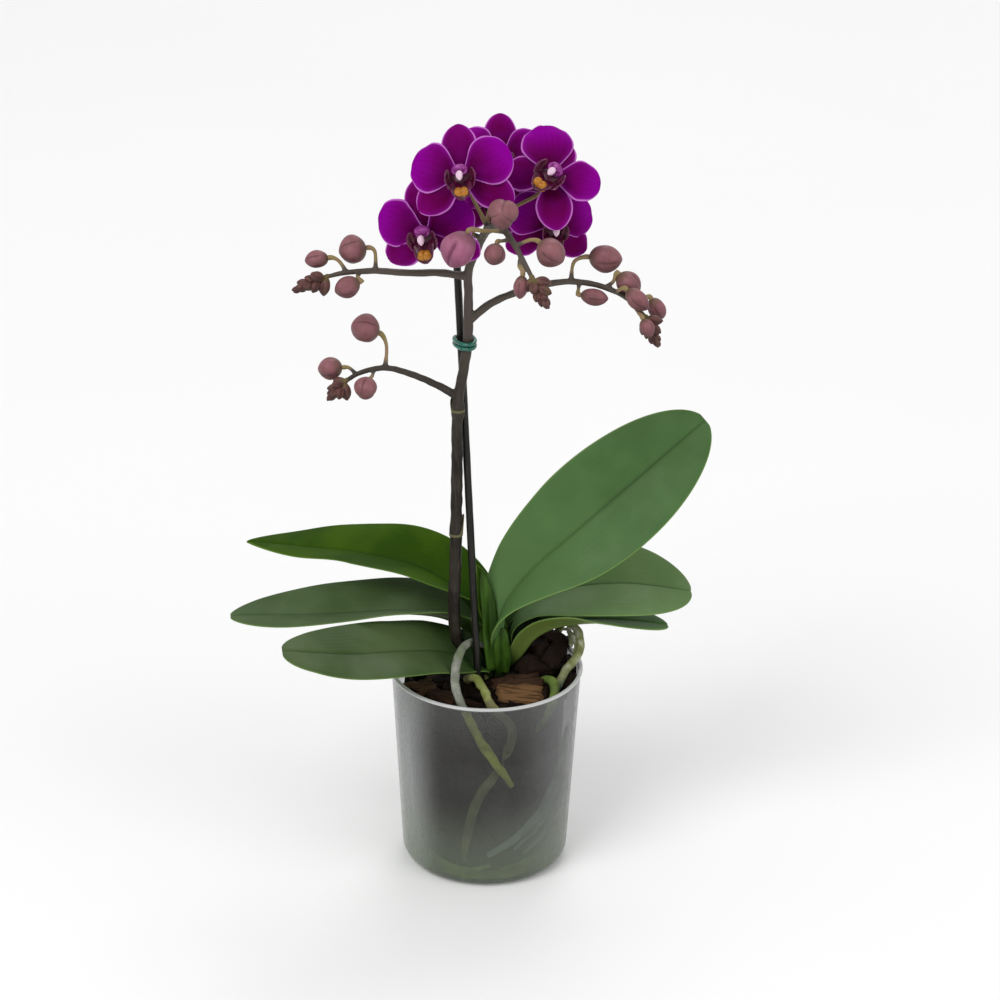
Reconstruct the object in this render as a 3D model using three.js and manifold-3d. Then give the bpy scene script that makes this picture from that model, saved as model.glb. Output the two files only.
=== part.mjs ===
// A small moth orchid in a clear plastic grow pot: a fan of thick leaves on a short crown, one branching
// flower spike tied to a stake, six open blooms, and buds in every stage down to the branch tips.
//
// Millimetres, +Z up, +X to the right and +Y away from the side the blooms face.
// The origin is the centre of the pot's underside.

import * as THREE from "three";
import { mergeVertices } from "three/addons/utils/BufferGeometryUtils.js";
import Module from "manifold-3d";

const wasm = await Module();
wasm.setup();

// ---------------------------------------------------------------- driving dimensions
const POT_HEIGHT = 98;
const RIM_RADIUS = 45;
const FOOT_RADIUS = 39; // where the wall meets the rounded foot
const FOOT_ROUND = 7;
const POT_WALL = 1.2;
const POT_SIDES = 32;
const FOOT_STEPS = 2;
const DRAIN_HOLES = 8;
const DRAIN_RADIUS = 2.6;
const DRAIN_RING_RADIUS = 22;

const GAP = 0.3; // between pieces that rest against each other

const BARK_RIM_LEVEL = 90; // the bark's level at the wall, below the rim
const BARK_CROWN_LEVEL = 95; // and at the crown, where it is heaped up
const TOP_CHIPS = 12;
const SIDE_CHIPS = 6;
const MOUND = { x: 25, y: 15, radius: 12, top: 108 }; // a heap of bark behind the right leaves

// The fan of leaf sheaths: it widens upwards, and stretch is how much wider it is along X.
const CROWN = { x: 3.3, y: 0, radius: 6.1, stretch: 1.3, bottom: 84, shoulder: 113, top: 124 };

const LEAF_THICKNESS = 1.8;
const ROOT_INSET = 2.9; // from the inside of the pot to the middle of a root

const STAKE_RADIUS = 1.7;
const STAKE_FOOT = new THREE.Vector3(0.9, -19.4, 12);
const STAKE_TIP = new THREE.Vector3(-14.9, 1.2, 297);

const TIE_LEVEL = 261;
const TIE_WIRE_RADIUS = 0.9;

const SEPAL_THICKNESS = 1;

// ---------------------------------------------------------------- materials
const paint = (color, roughness = 0.6, metalness = 0) =>
  new THREE.MeshStandardMaterial({ color, roughness, metalness });

const MATERIALS = {
  pot: new THREE.MeshStandardMaterial({
    color: 0xb9bfbd,
    roughness: 0.35,
    transparent: true,
    opacity: 0.45,
  }),
  bark: paint(0x4f3324, 0.95),
  rootGreen: paint(0x8c9a52),
  rootSilver: paint(0xa9aa9c, 0.8),
  leaf: paint(0x3f7a33, 0.45),
  youngLeaf: paint(0x2f6a1f, 0.45),
  crown: paint(0x4f6b2e),
  spike: paint(0x5a4a44),
  stake: paint(0x14130f, 0.5),
  tie: paint(0x1f7a5c, 0.5),
  tepal: paint(0x8a0a86, 0.5),
  lip: paint(0x5a0a38, 0.4),
  column: paint(0xd9a8cf, 0.5),
  bud: paint(0x95606e, 0.6),
  youngBud: paint(0x76505a, 0.65),
};

// ---------------------------------------------------------------- solids
const v3 = (x, y, z) => new THREE.Vector3(x, y, z);

// A closed geometry as a solid that can be joined and cut.
function solidOf(geometry) {
  const bare = geometry.clone();
  bare.deleteAttribute("normal");
  bare.deleteAttribute("uv");
  const merged = mergeVertices(bare, 1e-4);
  return new wasm.Manifold(
    new wasm.Mesh({
      numProp: 3,
      vertProperties: new Float32Array(merged.attributes.position.array),
      triVerts: new Uint32Array(merged.index.array),
    }),
  );
}

function geometryOf(solid) {
  const mesh = solid.getMesh();
  const geometry = new THREE.BufferGeometry();
  geometry.setAttribute("position", new THREE.BufferAttribute(mesh.vertProperties, 3));
  geometry.setIndex(new THREE.BufferAttribute(mesh.triVerts, 1));
  geometry.computeVertexNormals();
  return geometry;
}

const join = (solids) => solids.reduce((all, solid) => all.add(solid));

// The largest piece that a cut leaves; the loose scraps are dropped.
function largest(solid) {
  return solid.decompose().reduce((a, b) => (b.volume() > a.volume() ? b : a));
}

const moved = (geometry, matrix) => geometry.clone().applyMatrix4(matrix);

// ---------------------------------------------------------------- form builders
// A tube through the points, as thick at each as its radius says, with closed ends.
function tube(points, radii, sides, steps) {
  const curve = new THREE.CatmullRomCurve3(points);
  const frames = curve.computeFrenetFrames(steps, false);
  const positions = [];
  for (let i = 0; i <= steps; i++) {
    const along = i / steps;
    const at = curve.getPointAt(along);
    const place = along * (radii.length - 1);
    const first = Math.min(Math.floor(place), radii.length - 2);
    const radius = THREE.MathUtils.lerp(radii[first], radii[first + 1], place - first);
    for (let j = 0; j < sides; j++) {
      const turn = (2 * Math.PI * j) / sides;
      const point = at
        .clone()
        .addScaledVector(frames.normals[i], Math.cos(turn) * radius)
        .addScaledVector(frames.binormals[i], Math.sin(turn) * radius);
      positions.push(point.x, point.y, point.z);
    }
  }
  const start = curve.getPointAt(0);
  const end = curve.getPointAt(1);
  positions.push(start.x, start.y, start.z, end.x, end.y, end.z);
  const startCentre = (steps + 1) * sides;
  const index = [];
  for (let j = 0; j < sides; j++) {
    const next = (j + 1) % sides;
    for (let i = 0; i < steps; i++) {
      const a = i * sides + j;
      const b = i * sides + next;
      index.push(a, b, b + sides, a, b + sides, a + sides);
    }
    index.push(startCentre, next, j);
    index.push(startCentre + 1, steps * sides + j, steps * sides + next);
  }
  return indexed(positions, index);
}

function indexed(positions, index) {
  const geometry = new THREE.BufferGeometry();
  geometry.setAttribute("position", new THREE.Float32BufferAttribute(positions, 3));
  geometry.setIndex(index);
  return geometry;
}

// A thin solid over a grid of points, split into triangles alike on both faces.
function thicken(grid, thickness) {
  const rows = grid.length;
  const columns = grid[0].length;
  const positions = [];
  const normalAt = (i, j) => {
    const along = grid[Math.min(i + 1, rows - 1)][j].clone().sub(grid[Math.max(i - 1, 0)][j]);
    const across = grid[i][Math.min(j + 1, columns - 1)].clone().sub(grid[i][Math.max(j - 1, 0)]);
    return across.cross(along).normalize();
  };
  for (const side of [0.5, -0.5]) {
    grid.forEach((row, i) =>
      row.forEach((point, j) => {
        const p = point.clone().addScaledVector(normalAt(i, j), side * thickness(i, j));
        positions.push(p.x, p.y, p.z);
      }),
    );
  }
  const top = (i, j) => i * columns + j;
  const under = (i, j) => rows * columns + i * columns + j;
  const index = [];
  for (let i = 0; i < rows - 1; i++) {
    for (let j = 0; j < columns - 1; j++) {
      index.push(top(i, j), top(i, j + 1), top(i + 1, j + 1));
      index.push(top(i, j), top(i + 1, j + 1), top(i + 1, j));
      index.push(under(i, j), under(i + 1, j + 1), under(i, j + 1));
      index.push(under(i, j), under(i + 1, j), under(i + 1, j + 1));
    }
  }
  const wall = (a, b, c, d) => index.push(a, b, c, a, c, d);
  for (let i = 0; i < rows - 1; i++) {
    wall(top(i, 0), top(i + 1, 0), under(i + 1, 0), under(i, 0));
    wall(top(i + 1, columns - 1), top(i, columns - 1), under(i, columns - 1), under(i + 1, columns - 1));
  }
  for (let j = 0; j < columns - 1; j++) {
    wall(top(0, j + 1), top(0, j), under(0, j), under(0, j + 1));
    wall(top(rows - 1, j), top(rows - 1, j + 1), under(rows - 1, j + 1), under(rows - 1, j));
  }
  return indexed(positions, index);
}

// The half width of a leaf, sepal or petal at s, from 0 at its root to 1 at its tip.
function outline(s, { root, widest, tip }) {
  if (s < widest) return root + (1 - root) * Math.sin((Math.PI / 2) * (s / widest)) ** 1.3;
  return Math.max(1 - ((s - widest) / (1 - widest)) ** 2, 0) ** tip;
}

// A leaf, sepal or petal along a spine. Its upper side faces the given ups, one for each spine point,
// and its two halves rise from the midrib by the fold, in degrees at the root and at the tip. At its very
// root they rise by as much more as it clasps what carries it.
function blade({ spine, ups, halfWidth, shape, fold, clasp = 0, thickness, rows, columns }) {
  const path = new THREE.CatmullRomCurve3(spine);
  const facing = new THREE.CatmullRomCurve3(ups);
  const lastRow = 0.996; // the tip is cut blunt, so that no triangle there has no width
  const grid = [];
  for (let i = 0; i <= rows; i++) {
    const s = lastRow * (1 - (1 - i / rows) ** 1.45);
    const t = path.getUtoTmapping(s);
    const middle = path.getPoint(t);
    const tangent = path.getTangent(t);
    const up = facing.getPoint(t);
    up.addScaledVector(tangent, -up.dot(tangent)).normalize();
    const across = tangent.clone().cross(up);
    const rise = THREE.MathUtils.lerp(fold[0], fold[1], s) + clasp * Math.exp(-((s / 0.13) ** 2));
    const angle = THREE.MathUtils.degToRad(rise);
    const half = halfWidth * outline(s, shape);
    const row = [];
    for (let j = 0; j <= columns; j++) {
      const v = -1 + (2 * j) / columns;
      row.push(
        middle
          .clone()
          .addScaledVector(across, -v * half * Math.cos(angle))
          .addScaledVector(up, Math.abs(v) * half * Math.sin(angle)),
      );
    }
    grid.push(row);
  }
  const middleColumn = columns / 2;
  return thicken(grid, (i, j) => thickness * (1 - 0.3 * (Math.abs(j - middleColumn) / middleColumn)));
}

// An egg-shaped form along +Z from the origin, as buds and small knobs are.
function egg(length, radius, sides, widest, rings) {
  const profile = [new THREE.Vector2(0, 0)];
  for (let i = 1; i <= rings; i++) {
    const s = (1 - Math.cos((Math.PI * i) / (rings + 1))) / 2;
    const share = s < widest ? s / widest : (1 - s) / (1 - widest);
    profile.push(new THREE.Vector2(radius * Math.sin((Math.PI / 2) * share) ** 0.75, s * length));
  }
  profile.push(new THREE.Vector2(0, length));
  return new THREE.LatheGeometry(profile, sides).rotateX(Math.PI / 2);
}

// The matrix that carries +Z to a direction and the origin to a point.
function aimed(point, direction) {
  const turn = new THREE.Quaternion().setFromUnitVectors(v3(0, 0, 1), direction.clone().normalize());
  return new THREE.Matrix4().compose(point, turn, v3(1, 1, 1));
}

// Random draws that are the same on every run.
function seeded(seed) {
  let state = seed;
  return () => {
    state = (state * 1664525 + 1013904223) % 4294967296;
    return state / 4294967296;
  };
}

// ---------------------------------------------------------------- scene graph
const orchid = new THREE.Group();

function addMesh(name, geometry, material, parent = orchid) {
  const mesh = new THREE.Mesh(geometry, material);
  mesh.name = name;
  parent.add(mesh);
}

// ---------------------------------------------------------------- pot
// The wall's inner radius at a height, straight from the rounded foot to the rim.
function innerRadius(z) {
  const share = (z - FOOT_ROUND) / (POT_HEIGHT - FOOT_ROUND);
  return THREE.MathUtils.lerp(FOOT_RADIUS, RIM_RADIUS - 0.8, share) - POT_WALL;
}

// Points of a quarter round at the pot's foot, from its floor up to its wall.
function footRound(centreRadius, centreZ, radius) {
  const points = [];
  for (let i = 0; i <= FOOT_STEPS; i++) {
    const turn = (Math.PI / 2) * (i / FOOT_STEPS);
    points.push(
      new THREE.Vector2(centreRadius + radius * Math.sin(turn), centreZ - radius * Math.cos(turn)),
    );
  }
  return points;
}

function makePot() {
  const roundCentre = FOOT_RADIUS - FOOT_ROUND;
  const lip = 0.8;
  const profile = [
    new THREE.Vector2(0, 0),
    ...footRound(roundCentre, FOOT_ROUND, FOOT_ROUND),
    new THREE.Vector2(RIM_RADIUS - lip, POT_HEIGHT - 3.2),
    new THREE.Vector2(RIM_RADIUS, POT_HEIGHT - 2.2),
    new THREE.Vector2(RIM_RADIUS, POT_HEIGHT - 0.5),
    new THREE.Vector2(RIM_RADIUS - 0.6, POT_HEIGHT),
    new THREE.Vector2(RIM_RADIUS - lip - POT_WALL, POT_HEIGHT),
    ...footRound(roundCentre, FOOT_ROUND, FOOT_ROUND - POT_WALL).reverse(),
    new THREE.Vector2(0, POT_WALL),
  ];
  const shell = solidOf(new THREE.LatheGeometry(profile, POT_SIDES).rotateX(Math.PI / 2));
  const holes = [];
  for (let i = 0; i < DRAIN_HOLES; i++) {
    const turn = (2 * Math.PI * (i + 0.5)) / DRAIN_HOLES;
    const hole = new THREE.CylinderGeometry(DRAIN_RADIUS, DRAIN_RADIUS, 6, 8).rotateX(Math.PI / 2);
    hole.translate(DRAIN_RING_RADIUS * Math.cos(turn), DRAIN_RING_RADIUS * Math.sin(turn), 0);
    holes.push(solidOf(hole));
  }
  return shell.subtract(join(holes));
}

// ---------------------------------------------------------------- roots
// Each root runs from the crown. The two front roots and the right ones go over the bark before they go in.
// Where they show through the pot's wall, they lie against it.

// How far from the pot's axis the middle of a root can lie at a height, clear of the wall and the foot.
function rootReach(z, inset) {
  if (z >= FOOT_ROUND) return innerRadius(Math.min(z, POT_HEIGHT)) - inset;
  const room = FOOT_ROUND - POT_WALL - inset;
  const drop = Math.min(FOOT_ROUND - z, room);
  return FOOT_RADIUS - FOOT_ROUND + Math.sqrt(room * room - drop * drop);
}

// A point inside the pot's wall, at an angle from +X and a height.
function wallPoint(degrees, z, inset = ROOT_INSET) {
  const turn = THREE.MathUtils.degToRad(degrees);
  const radius = rootReach(z, inset);
  return v3(radius * Math.cos(turn), radius * Math.sin(turn), z);
}

const ROOTS = [
  {
    name: "root_front_silver",
    material: MATERIALS.rootSilver,
    radii: [1.4, 1.6, 1.9, 2, 1.9, 1.9, 2, 2.2, 1.9, 1.3],
    points: [
      v3(-0.5, -3.5, 109.5),
      v3(-7.3, -9.2, 114.2),
      v3(-12.2, -20.7, 114.2),
      v3(-14, -26, 107.8),
      v3(-13.6, -33, 102),
      v3(-10.4, -39, 96),
      wallPoint(264, 82),
      wallPoint(276, 68),
      wallPoint(290, 53),
    ],
  },
  {
    name: "root_front_green",
    material: MATERIALS.rootGreen,
    radii: [1.6, 1.8, 1.9, 2, 2, 2.1, 2.3, 2.3, 2.2, 2, 1.4],
    points: [
      v3(1, -3.4, 93),
      v3(-7.6, -9, 94),
      v3(-8.6, -15, 98.2),
      v3(-4.8, -20, 101),
      v3(-1, -28, 99.5),
      v3(2.6, -37, 96),
      wallPoint(288, 84),
      wallPoint(283, 64, 8),
      wallPoint(266, 48),
      wallPoint(258, 30),
      wallPoint(254, 12),
    ],
  },
  {
    name: "root_right_loop",
    material: MATERIALS.rootGreen,
    radii: [1.5, 1.7, 1.9, 2, 1.9, 1.8, 1.8, 2, 2, 1.8, 1.3],
    points: [
      v3(30, 24, 95),
      v3(34, 20, 107),
      v3(37, 13, 114.6),
      v3(42.6, 7, 112),
      v3(43.2, 0, 105.4),
      v3(36.6, -7, 98.4),
      v3(31.5, -11, 88),
      wallPoint(348, 66, 7),
      wallPoint(340, 52),
      wallPoint(318, 36),
      wallPoint(294, 24),
      wallPoint(272, 16),
    ],
  },
  {
    name: "root_right_green",
    material: MATERIALS.rootGreen,
    radii: [1.5, 1.9, 2.2, 2.1, 1.8, 1.3],
    points: [
      v3(22, -8, 91),
      v3(28.4, -13, 97.4),
      v3(31.4, -18.5, 97.4),
      v3(31, -24, 92),
      v3(27, -26, 84),
      v3(21, -27, 76),
    ],
  },
  {
    name: "root_foot_ring",
    material: MATERIALS.rootGreen,
    radii: [1.6, 2, 2.1, 2.2, 2.2, 2.3, 2.2, 2, 1.4],
    points: [
      v3(0, 12, 88),
      v3(-10, 12, 62),
      v3(-21, 0, 32),
      wallPoint(205, 11, 4.5),
      wallPoint(232, 4.6),
      wallPoint(262, 4.4),
      wallPoint(296, 4.6),
      wallPoint(322, 7.5),
      wallPoint(340, 13),
    ],
  },
  {
    name: "root_back",
    material: MATERIALS.rootGreen,
    radii: [1.6, 2.1, 2.2, 2.2, 2, 1.3],
    points: [
      v3(9, 11, 90),
      wallPoint(62, 78),
      wallPoint(84, 52),
      wallPoint(58, 30),
      wallPoint(30, 14),
      wallPoint(2, 8),
    ],
  },
];

const ROOT_SIDES = 5;
const ROOT_STEPS = 12;

// A root's smooth course through its points, drawn in wherever it would swing out into the wall.
function rootCourse(points) {
  const course = new THREE.CatmullRomCurve3(points).getPoints(30);
  for (const point of course) {
    const reach = rootReach(point.z, ROOT_INSET);
    const radius = Math.hypot(point.x, point.y);
    if (radius > reach && point.z < POT_HEIGHT + 4) {
      point.x *= reach / radius;
      point.y *= reach / radius;
    }
  }
  return course;
}

const rootTube = ({ points, radii }, more) =>
  solidOf(tube(rootCourse(points), radii.map((radius) => radius + more), ROOT_SIDES, ROOT_STEPS));

// ---------------------------------------------------------------- bark
// The level of the heaped bark at a place.
function barkLevel(x, y) {
  const share = THREE.MathUtils.clamp((Math.hypot(x, y) - 12) / 30, 0, 1);
  const heap = THREE.MathUtils.lerp(BARK_CROWN_LEVEL, BARK_RIM_LEVEL, share);
  const fromMound = Math.hypot(x - MOUND.x, y - MOUND.y) / MOUND.radius;
  return fromMound < 1 ? Math.max(heap, MOUND.top - 6 * fromMound ** 2 - 3) : heap;
}

// A chip: a block with its corners pulled about.
function chip(random, length, width, height) {
  const geometry = new THREE.BoxGeometry(length, width, height);
  geometry.deleteAttribute("normal");
  geometry.deleteAttribute("uv");
  const merged = mergeVertices(geometry);
  const position = merged.attributes.position;
  for (let i = 0; i < position.count; i++) {
    position.setXYZ(
      i,
      position.getX(i) * (0.72 + 0.4 * random()),
      position.getY(i) * (0.72 + 0.4 * random()),
      position.getZ(i) * (0.7 + 0.5 * random()),
    );
  }
  return merged;
}

// The inside of the pot up to a level, drawn in from its wall and its floor, and heaped up in the middle.
function potFilling(inset, floorGap, rise) {
  const top = innerRadius(BARK_RIM_LEVEL) - inset;
  const foot = footRound(FOOT_RADIUS - FOOT_ROUND, FOOT_ROUND, FOOT_ROUND - POT_WALL - inset);
  const floor = POT_WALL + floorGap;
  const profile = [
    new THREE.Vector2(0, floor),
    new THREE.Vector2(FOOT_RADIUS - FOOT_ROUND, floor),
    ...foot.filter((point) => point.y > floor + 0.5),
    new THREE.Vector2(top, BARK_RIM_LEVEL),
    new THREE.Vector2(top * 0.6, BARK_RIM_LEVEL + rise * 0.75),
    new THREE.Vector2(0, BARK_RIM_LEVEL + rise),
  ];
  return solidOf(new THREE.LatheGeometry(profile, POT_SIDES / 2).rotateX(Math.PI / 2));
}

function makeBark() {
  const random = seeded(7);
  const goldenAngle = 2.399963; // spreads the chips evenly
  const heap = [potFilling(2.4, GAP, BARK_CROWN_LEVEL - BARK_RIM_LEVEL - 1)];

  const addChip = (size, at, tilt) => {
    const [length, width, height] = size.map((least) => least * (1 + 0.6 * random()));
    const turn = new THREE.Euler((random() - 0.5) * tilt, (random() - 0.5) * tilt, random() * Math.PI * 2);
    const place = new THREE.Matrix4().compose(at, new THREE.Quaternion().setFromEuler(turn), v3(1, 1, 1));
    heap.push(solidOf(moved(chip(random, length, width, height), place)));
  };
  for (let i = 0; i < TOP_CHIPS; i++) {
    const radius = 37 * Math.sqrt((i + 0.6) / TOP_CHIPS);
    const x = radius * Math.cos(i * goldenAngle);
    const y = radius * Math.sin(i * goldenAngle);
    addChip([11, 8, 5.5], v3(x, y, barkLevel(x, y) - 1.5), 0.9);
  }
  for (let i = 0; i < SIDE_CHIPS; i++) {
    const z = 12 + 74 * ((i + 0.5) / SIDE_CHIPS);
    const radius = innerRadius(z) - 5.5;
    const at = v3(radius * Math.cos(i * goldenAngle), radius * Math.sin(i * goldenAngle), z);
    addChip([12, 8, 10], at, 2.5);
  }
  const mound = new THREE.SphereGeometry(MOUND.radius, 7, 4).rotateX(Math.PI / 2);
  heap.push(solidOf(mound.translate(MOUND.x, MOUND.y, MOUND.top - MOUND.radius)));

  // The chips are kept to the inside of the pot, and stand free above its rim.
  const opening = innerRadius(BARK_RIM_LEVEL) - 1.2;
  const above = new THREE.CylinderGeometry(opening, opening, 40, POT_SIDES / 2).rotateX(Math.PI / 2);
  above.translate(0, 0, BARK_RIM_LEVEL + 18);
  const room = potFilling(GAP + 0.15, GAP, 0).add(solidOf(above));
  return join(heap).intersect(room);
}

// ---------------------------------------------------------------- crown and leaves
function crownSolid(more) {
  const { x, y, radius, stretch, bottom, shoulder, top } = CROWN;
  const profile = [
    new THREE.Vector2(0, bottom - more),
    new THREE.Vector2(radius * 0.5 + more, bottom - more),
    new THREE.Vector2(radius * 0.75 + more, bottom + 14),
    new THREE.Vector2(radius + more, shoulder),
    new THREE.Vector2(radius * 0.35 + more, top + more),
    new THREE.Vector2(0, top + more),
  ];
  const lathe = new THREE.LatheGeometry(profile, 10).rotateX(Math.PI / 2);
  return solidOf(lathe.scale(stretch, 1, 1).translate(x, y, 0));
}

// Two ranks of leaves, the oldest lowest. Each is folded about the crown at its root.
const LEAVES = [
  {
    name: "leaf_left_low",
    halfWidth: 20,
    fold: [14, 1],
    spine: [
      v3(-1.8, -1, 98),
      v3(-6.5, -1.9, 100.6),
      v3(-12.5, -4, 104.6),
      v3(-24, -11.5, 110.3),
      v3(-40, -24, 116),
      v3(-61, -37, 121),
      v3(-79, -42.5, 124.5),
      v3(-92, -45, 126.5),
    ],
    ups: [
      v3(0.5, -0.1, 0.9),
      v3(0.4, -0.2, 0.9),
      v3(0.25, -0.35, 0.9),
      v3(0.1, -0.4, 0.9),
      v3(0, -0.35, 1),
      v3(0, -0.3, 1),
      v3(0, -0.25, 1),
      v3(0, -0.2, 1),
    ],
    shape: { root: 0.34, widest: 0.52, tip: 0.44 },
  },
  {
    name: "leaf_left_middle",
    halfWidth: 20.4,
    fold: [38, 5],
    spine: [
      v3(-2.2, 4.5, 105),
      v3(-8, 8, 112),
      v3(-19.5, 10, 118),
      v3(-40, 7.5, 121.5),
      v3(-68, 3, 122),
      v3(-96, 0, 122),
      v3(-119, -2, 122.5),
    ],
    ups: [
      v3(0.9, 0, 0.4),
      v3(0.6, 0, 0.8),
      v3(0.3, 0, 1),
      v3(0, -0.05, 1),
      v3(0, -0.05, 1),
      v3(0, -0.05, 1),
      v3(-0.1, -0.05, 1),
    ],
    shape: { root: 0.26, widest: 0.56, tip: 0.55 },
  },
  {
    name: "leaf_left_high",
    halfWidth: 21.5,
    fold: [36, 5],
    spine: [
      v3(0, 5.8, 110.5),
      v3(-4.6, 10, 119.5),
      v3(-12, 14, 127.6),
      v3(-31, 21, 137),
      v3(-60, 27, 141.6),
      v3(-88, 32, 142.3),
      v3(-114, 36, 143),
    ],
    ups: [
      v3(0.95, -0.1, 0.3),
      v3(0.9, -0.15, 0.4),
      v3(0.6, -0.3, 0.75),
      v3(0.15, -0.25, 1),
      v3(0, -0.1, 1),
      v3(0, -0.1, 1),
      v3(0, -0.1, 1),
    ],
    shape: { root: 0.34, widest: 0.4, tip: 0.85 },
  },
  {
    name: "leaf_right_low",
    halfWidth: 14,
    fold: [40, 8],
    spine: [
      v3(11.2, -0.9, 99.2),
      v3(15.6, -4.2, 106.6),
      v3(21.6, -5, 115.5),
      v3(30, -3.5, 120),
      v3(42, 2.8, 119.4),
      v3(60, 9.8, 116.6),
      v3(85, 14, 112.4),
    ],
    ups: [
      v3(-0.7, 0.5, 0.6),
      v3(-0.6, 0.5, 0.75),
      v3(-0.4, 0.45, 0.85),
      v3(-0.1, 0.3, 0.95),
      v3(0.1, 0.1, 1),
      v3(0.2, 0, 1),
      v3(0.3, 0, 1),
    ],
    shape: { root: 0.24, widest: 0.6, tip: 0.52 },
  },
  {
    name: "leaf_right_middle",
    halfWidth: 21.8,
    fold: [20, 6],
    spine: [
      v3(10.9, 4.5, 105),
      v3(10.8, 5.6, 115),
      v3(16, 8, 124),
      v3(34, 13, 130.5),
      v3(62, 18, 132),
      v3(96, 24, 125.6),
    ],
    ups: [
      v3(-0.95, -0.3, 0.3),
      v3(-0.85, -0.2, 0.5),
      v3(-0.4, -0.35, 0.9),
      v3(-0.1, -0.5, 0.87),
      v3(0.1, -0.48, 0.87),
      v3(0.25, -0.4, 0.88),
    ],
    shape: { root: 0.3, widest: 0.62, tip: 0.5 },
  },
  {
    name: "leaf_right_high",
    halfWidth: 27,
    fold: [34, 4],
    clasp: 30,
    spine: [
      v3(8.4, -4.2, 104),
      v3(6.6, -7, 116),
      v3(7.6, -7.5, 130),
      v3(19, -4.5, 147),
      v3(40.5, 1, 166.3),
      v3(71, 8, 193),
      v3(98.5, 12, 218.3),
    ],
    ups: [
      v3(-0.6, 0.6, 0.1),
      v3(-0.8, 0, 0.2),
      v3(-0.75, -0.5, 0.35),
      v3(-0.5, -0.8, 0.4),
      v3(-0.28, -0.9, 0.4),
      v3(-0.2, -0.88, 0.42),
      v3(-0.2, -0.85, 0.45),
    ],
    shape: { root: 0.14, widest: 0.58, tip: 0.52 },
  },
  {
    name: "leaf_centre_young",
    halfWidth: 5.6,
    fold: [44, 26],
    spine: [v3(1.2, 1.2, 117), v3(-1, 2.6, 125), v3(-2.6, 3.6, 136), v3(-5.2, 5, 147)],
    ups: [v3(0.4, -0.9, 0.1), v3(0.4, -0.9, 0.1), v3(0.5, -0.85, 0.2), v3(0.6, -0.7, 0.3)],
    shape: { root: 0.5, widest: 0.5, tip: 0.8 },
    material: MATERIALS.youngLeaf,
  },
];

const LEAF_ROWS = 9;
const LEAF_COLUMNS = 6;

function makeLeaf({ spine, ups, halfWidth, fold, clasp, shape }) {
  return solidOf(
    blade({
      spine,
      ups,
      halfWidth,
      fold,
      clasp,
      shape,
      thickness: LEAF_THICKNESS,
      rows: LEAF_ROWS,
      columns: LEAF_COLUMNS,
    }),
  );
}

// ---------------------------------------------------------------- spike
// The stem and its branches, each a list of points with a thickness at either end.
const STEM = {
  points: [
    v3(-0.5, -0.2, 104.4),
    v3(-6.5, -2.6, 107),
    v3(-12.8, -6.2, 112.2),
    v3(-14.8, -8, 122),
    v3(-14.4, -8, 165),
    v3(-14.2, -8, 200),
    v3(-13.9, -8, 233),
    v3(-12, -8, 246),
    v3(-9.8, -8, 262),
    v3(-9.6, -8, 282),
    v3(-9.4, -9, 297),
    v3(-6, -11, 306),
    v3(-3.6, -16, 314),
    v3(-0.5, -26, 321.5),
    v3(3, -38, 327),
    v3(6.5, -49, 328),
    v3(10.5, -58, 325),
    v3(14.5, -66, 320),
    v3(17.5, -71, 316),
  ],
  radii: [2.2, 2.6, 2.8, 2.8, 2.8, 2.7, 2.7, 2.6, 2.5, 2.4, 2.3, 2.2, 2, 1.9, 1.8, 1.8, 1.6, 1.3, 1],
  steps: 26,
};

const BRANCHES = [
  {
    radii: [2, 1.7, 1.5, 1.4, 1.2, 1],
    points: [
      v3(-13.8, -8, 236),
      v3(-24, -11, 243),
      v3(-35, -14, 249),
      v3(-46, -16, 252.5),
      v3(-57, -18.5, 251),
      v3(-63, -20, 247.8),
    ],
  },
  {
    radii: [2, 1.7, 1.6, 1.5, 1.4, 1.2, 1],
    points: [
      v3(-9.4, -8.5, 293),
      v3(-22, -11, 295.5),
      v3(-35, -13, 296),
      v3(-50, -15, 297.5),
      v3(-58, -16.5, 297.6),
      v3(-65, -17.8, 297.2),
      v3(-71, -19, 296),
    ],
  },
  {
    radii: [2, 1.8, 1.6, 1.5, 1.4, 1.3, 1.1, 0.9],
    points: [
      v3(-9.6, -8, 272),
      v3(0, -9, 280.5),
      v3(11, -12, 287),
      v3(22, -16, 292),
      v3(35, -20, 295.5),
      v3(48, -24, 295),
      v3(58.5, -28, 291.5),
      v3(67.5, -32, 284),
    ],
  },
];

// Thin collars where a bract clasps the stem, at these levels.
const BRACT_COLLARS = [
  { x: -14.4, level: 171 },
  { x: -13.9, level: 230 },
];

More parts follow.
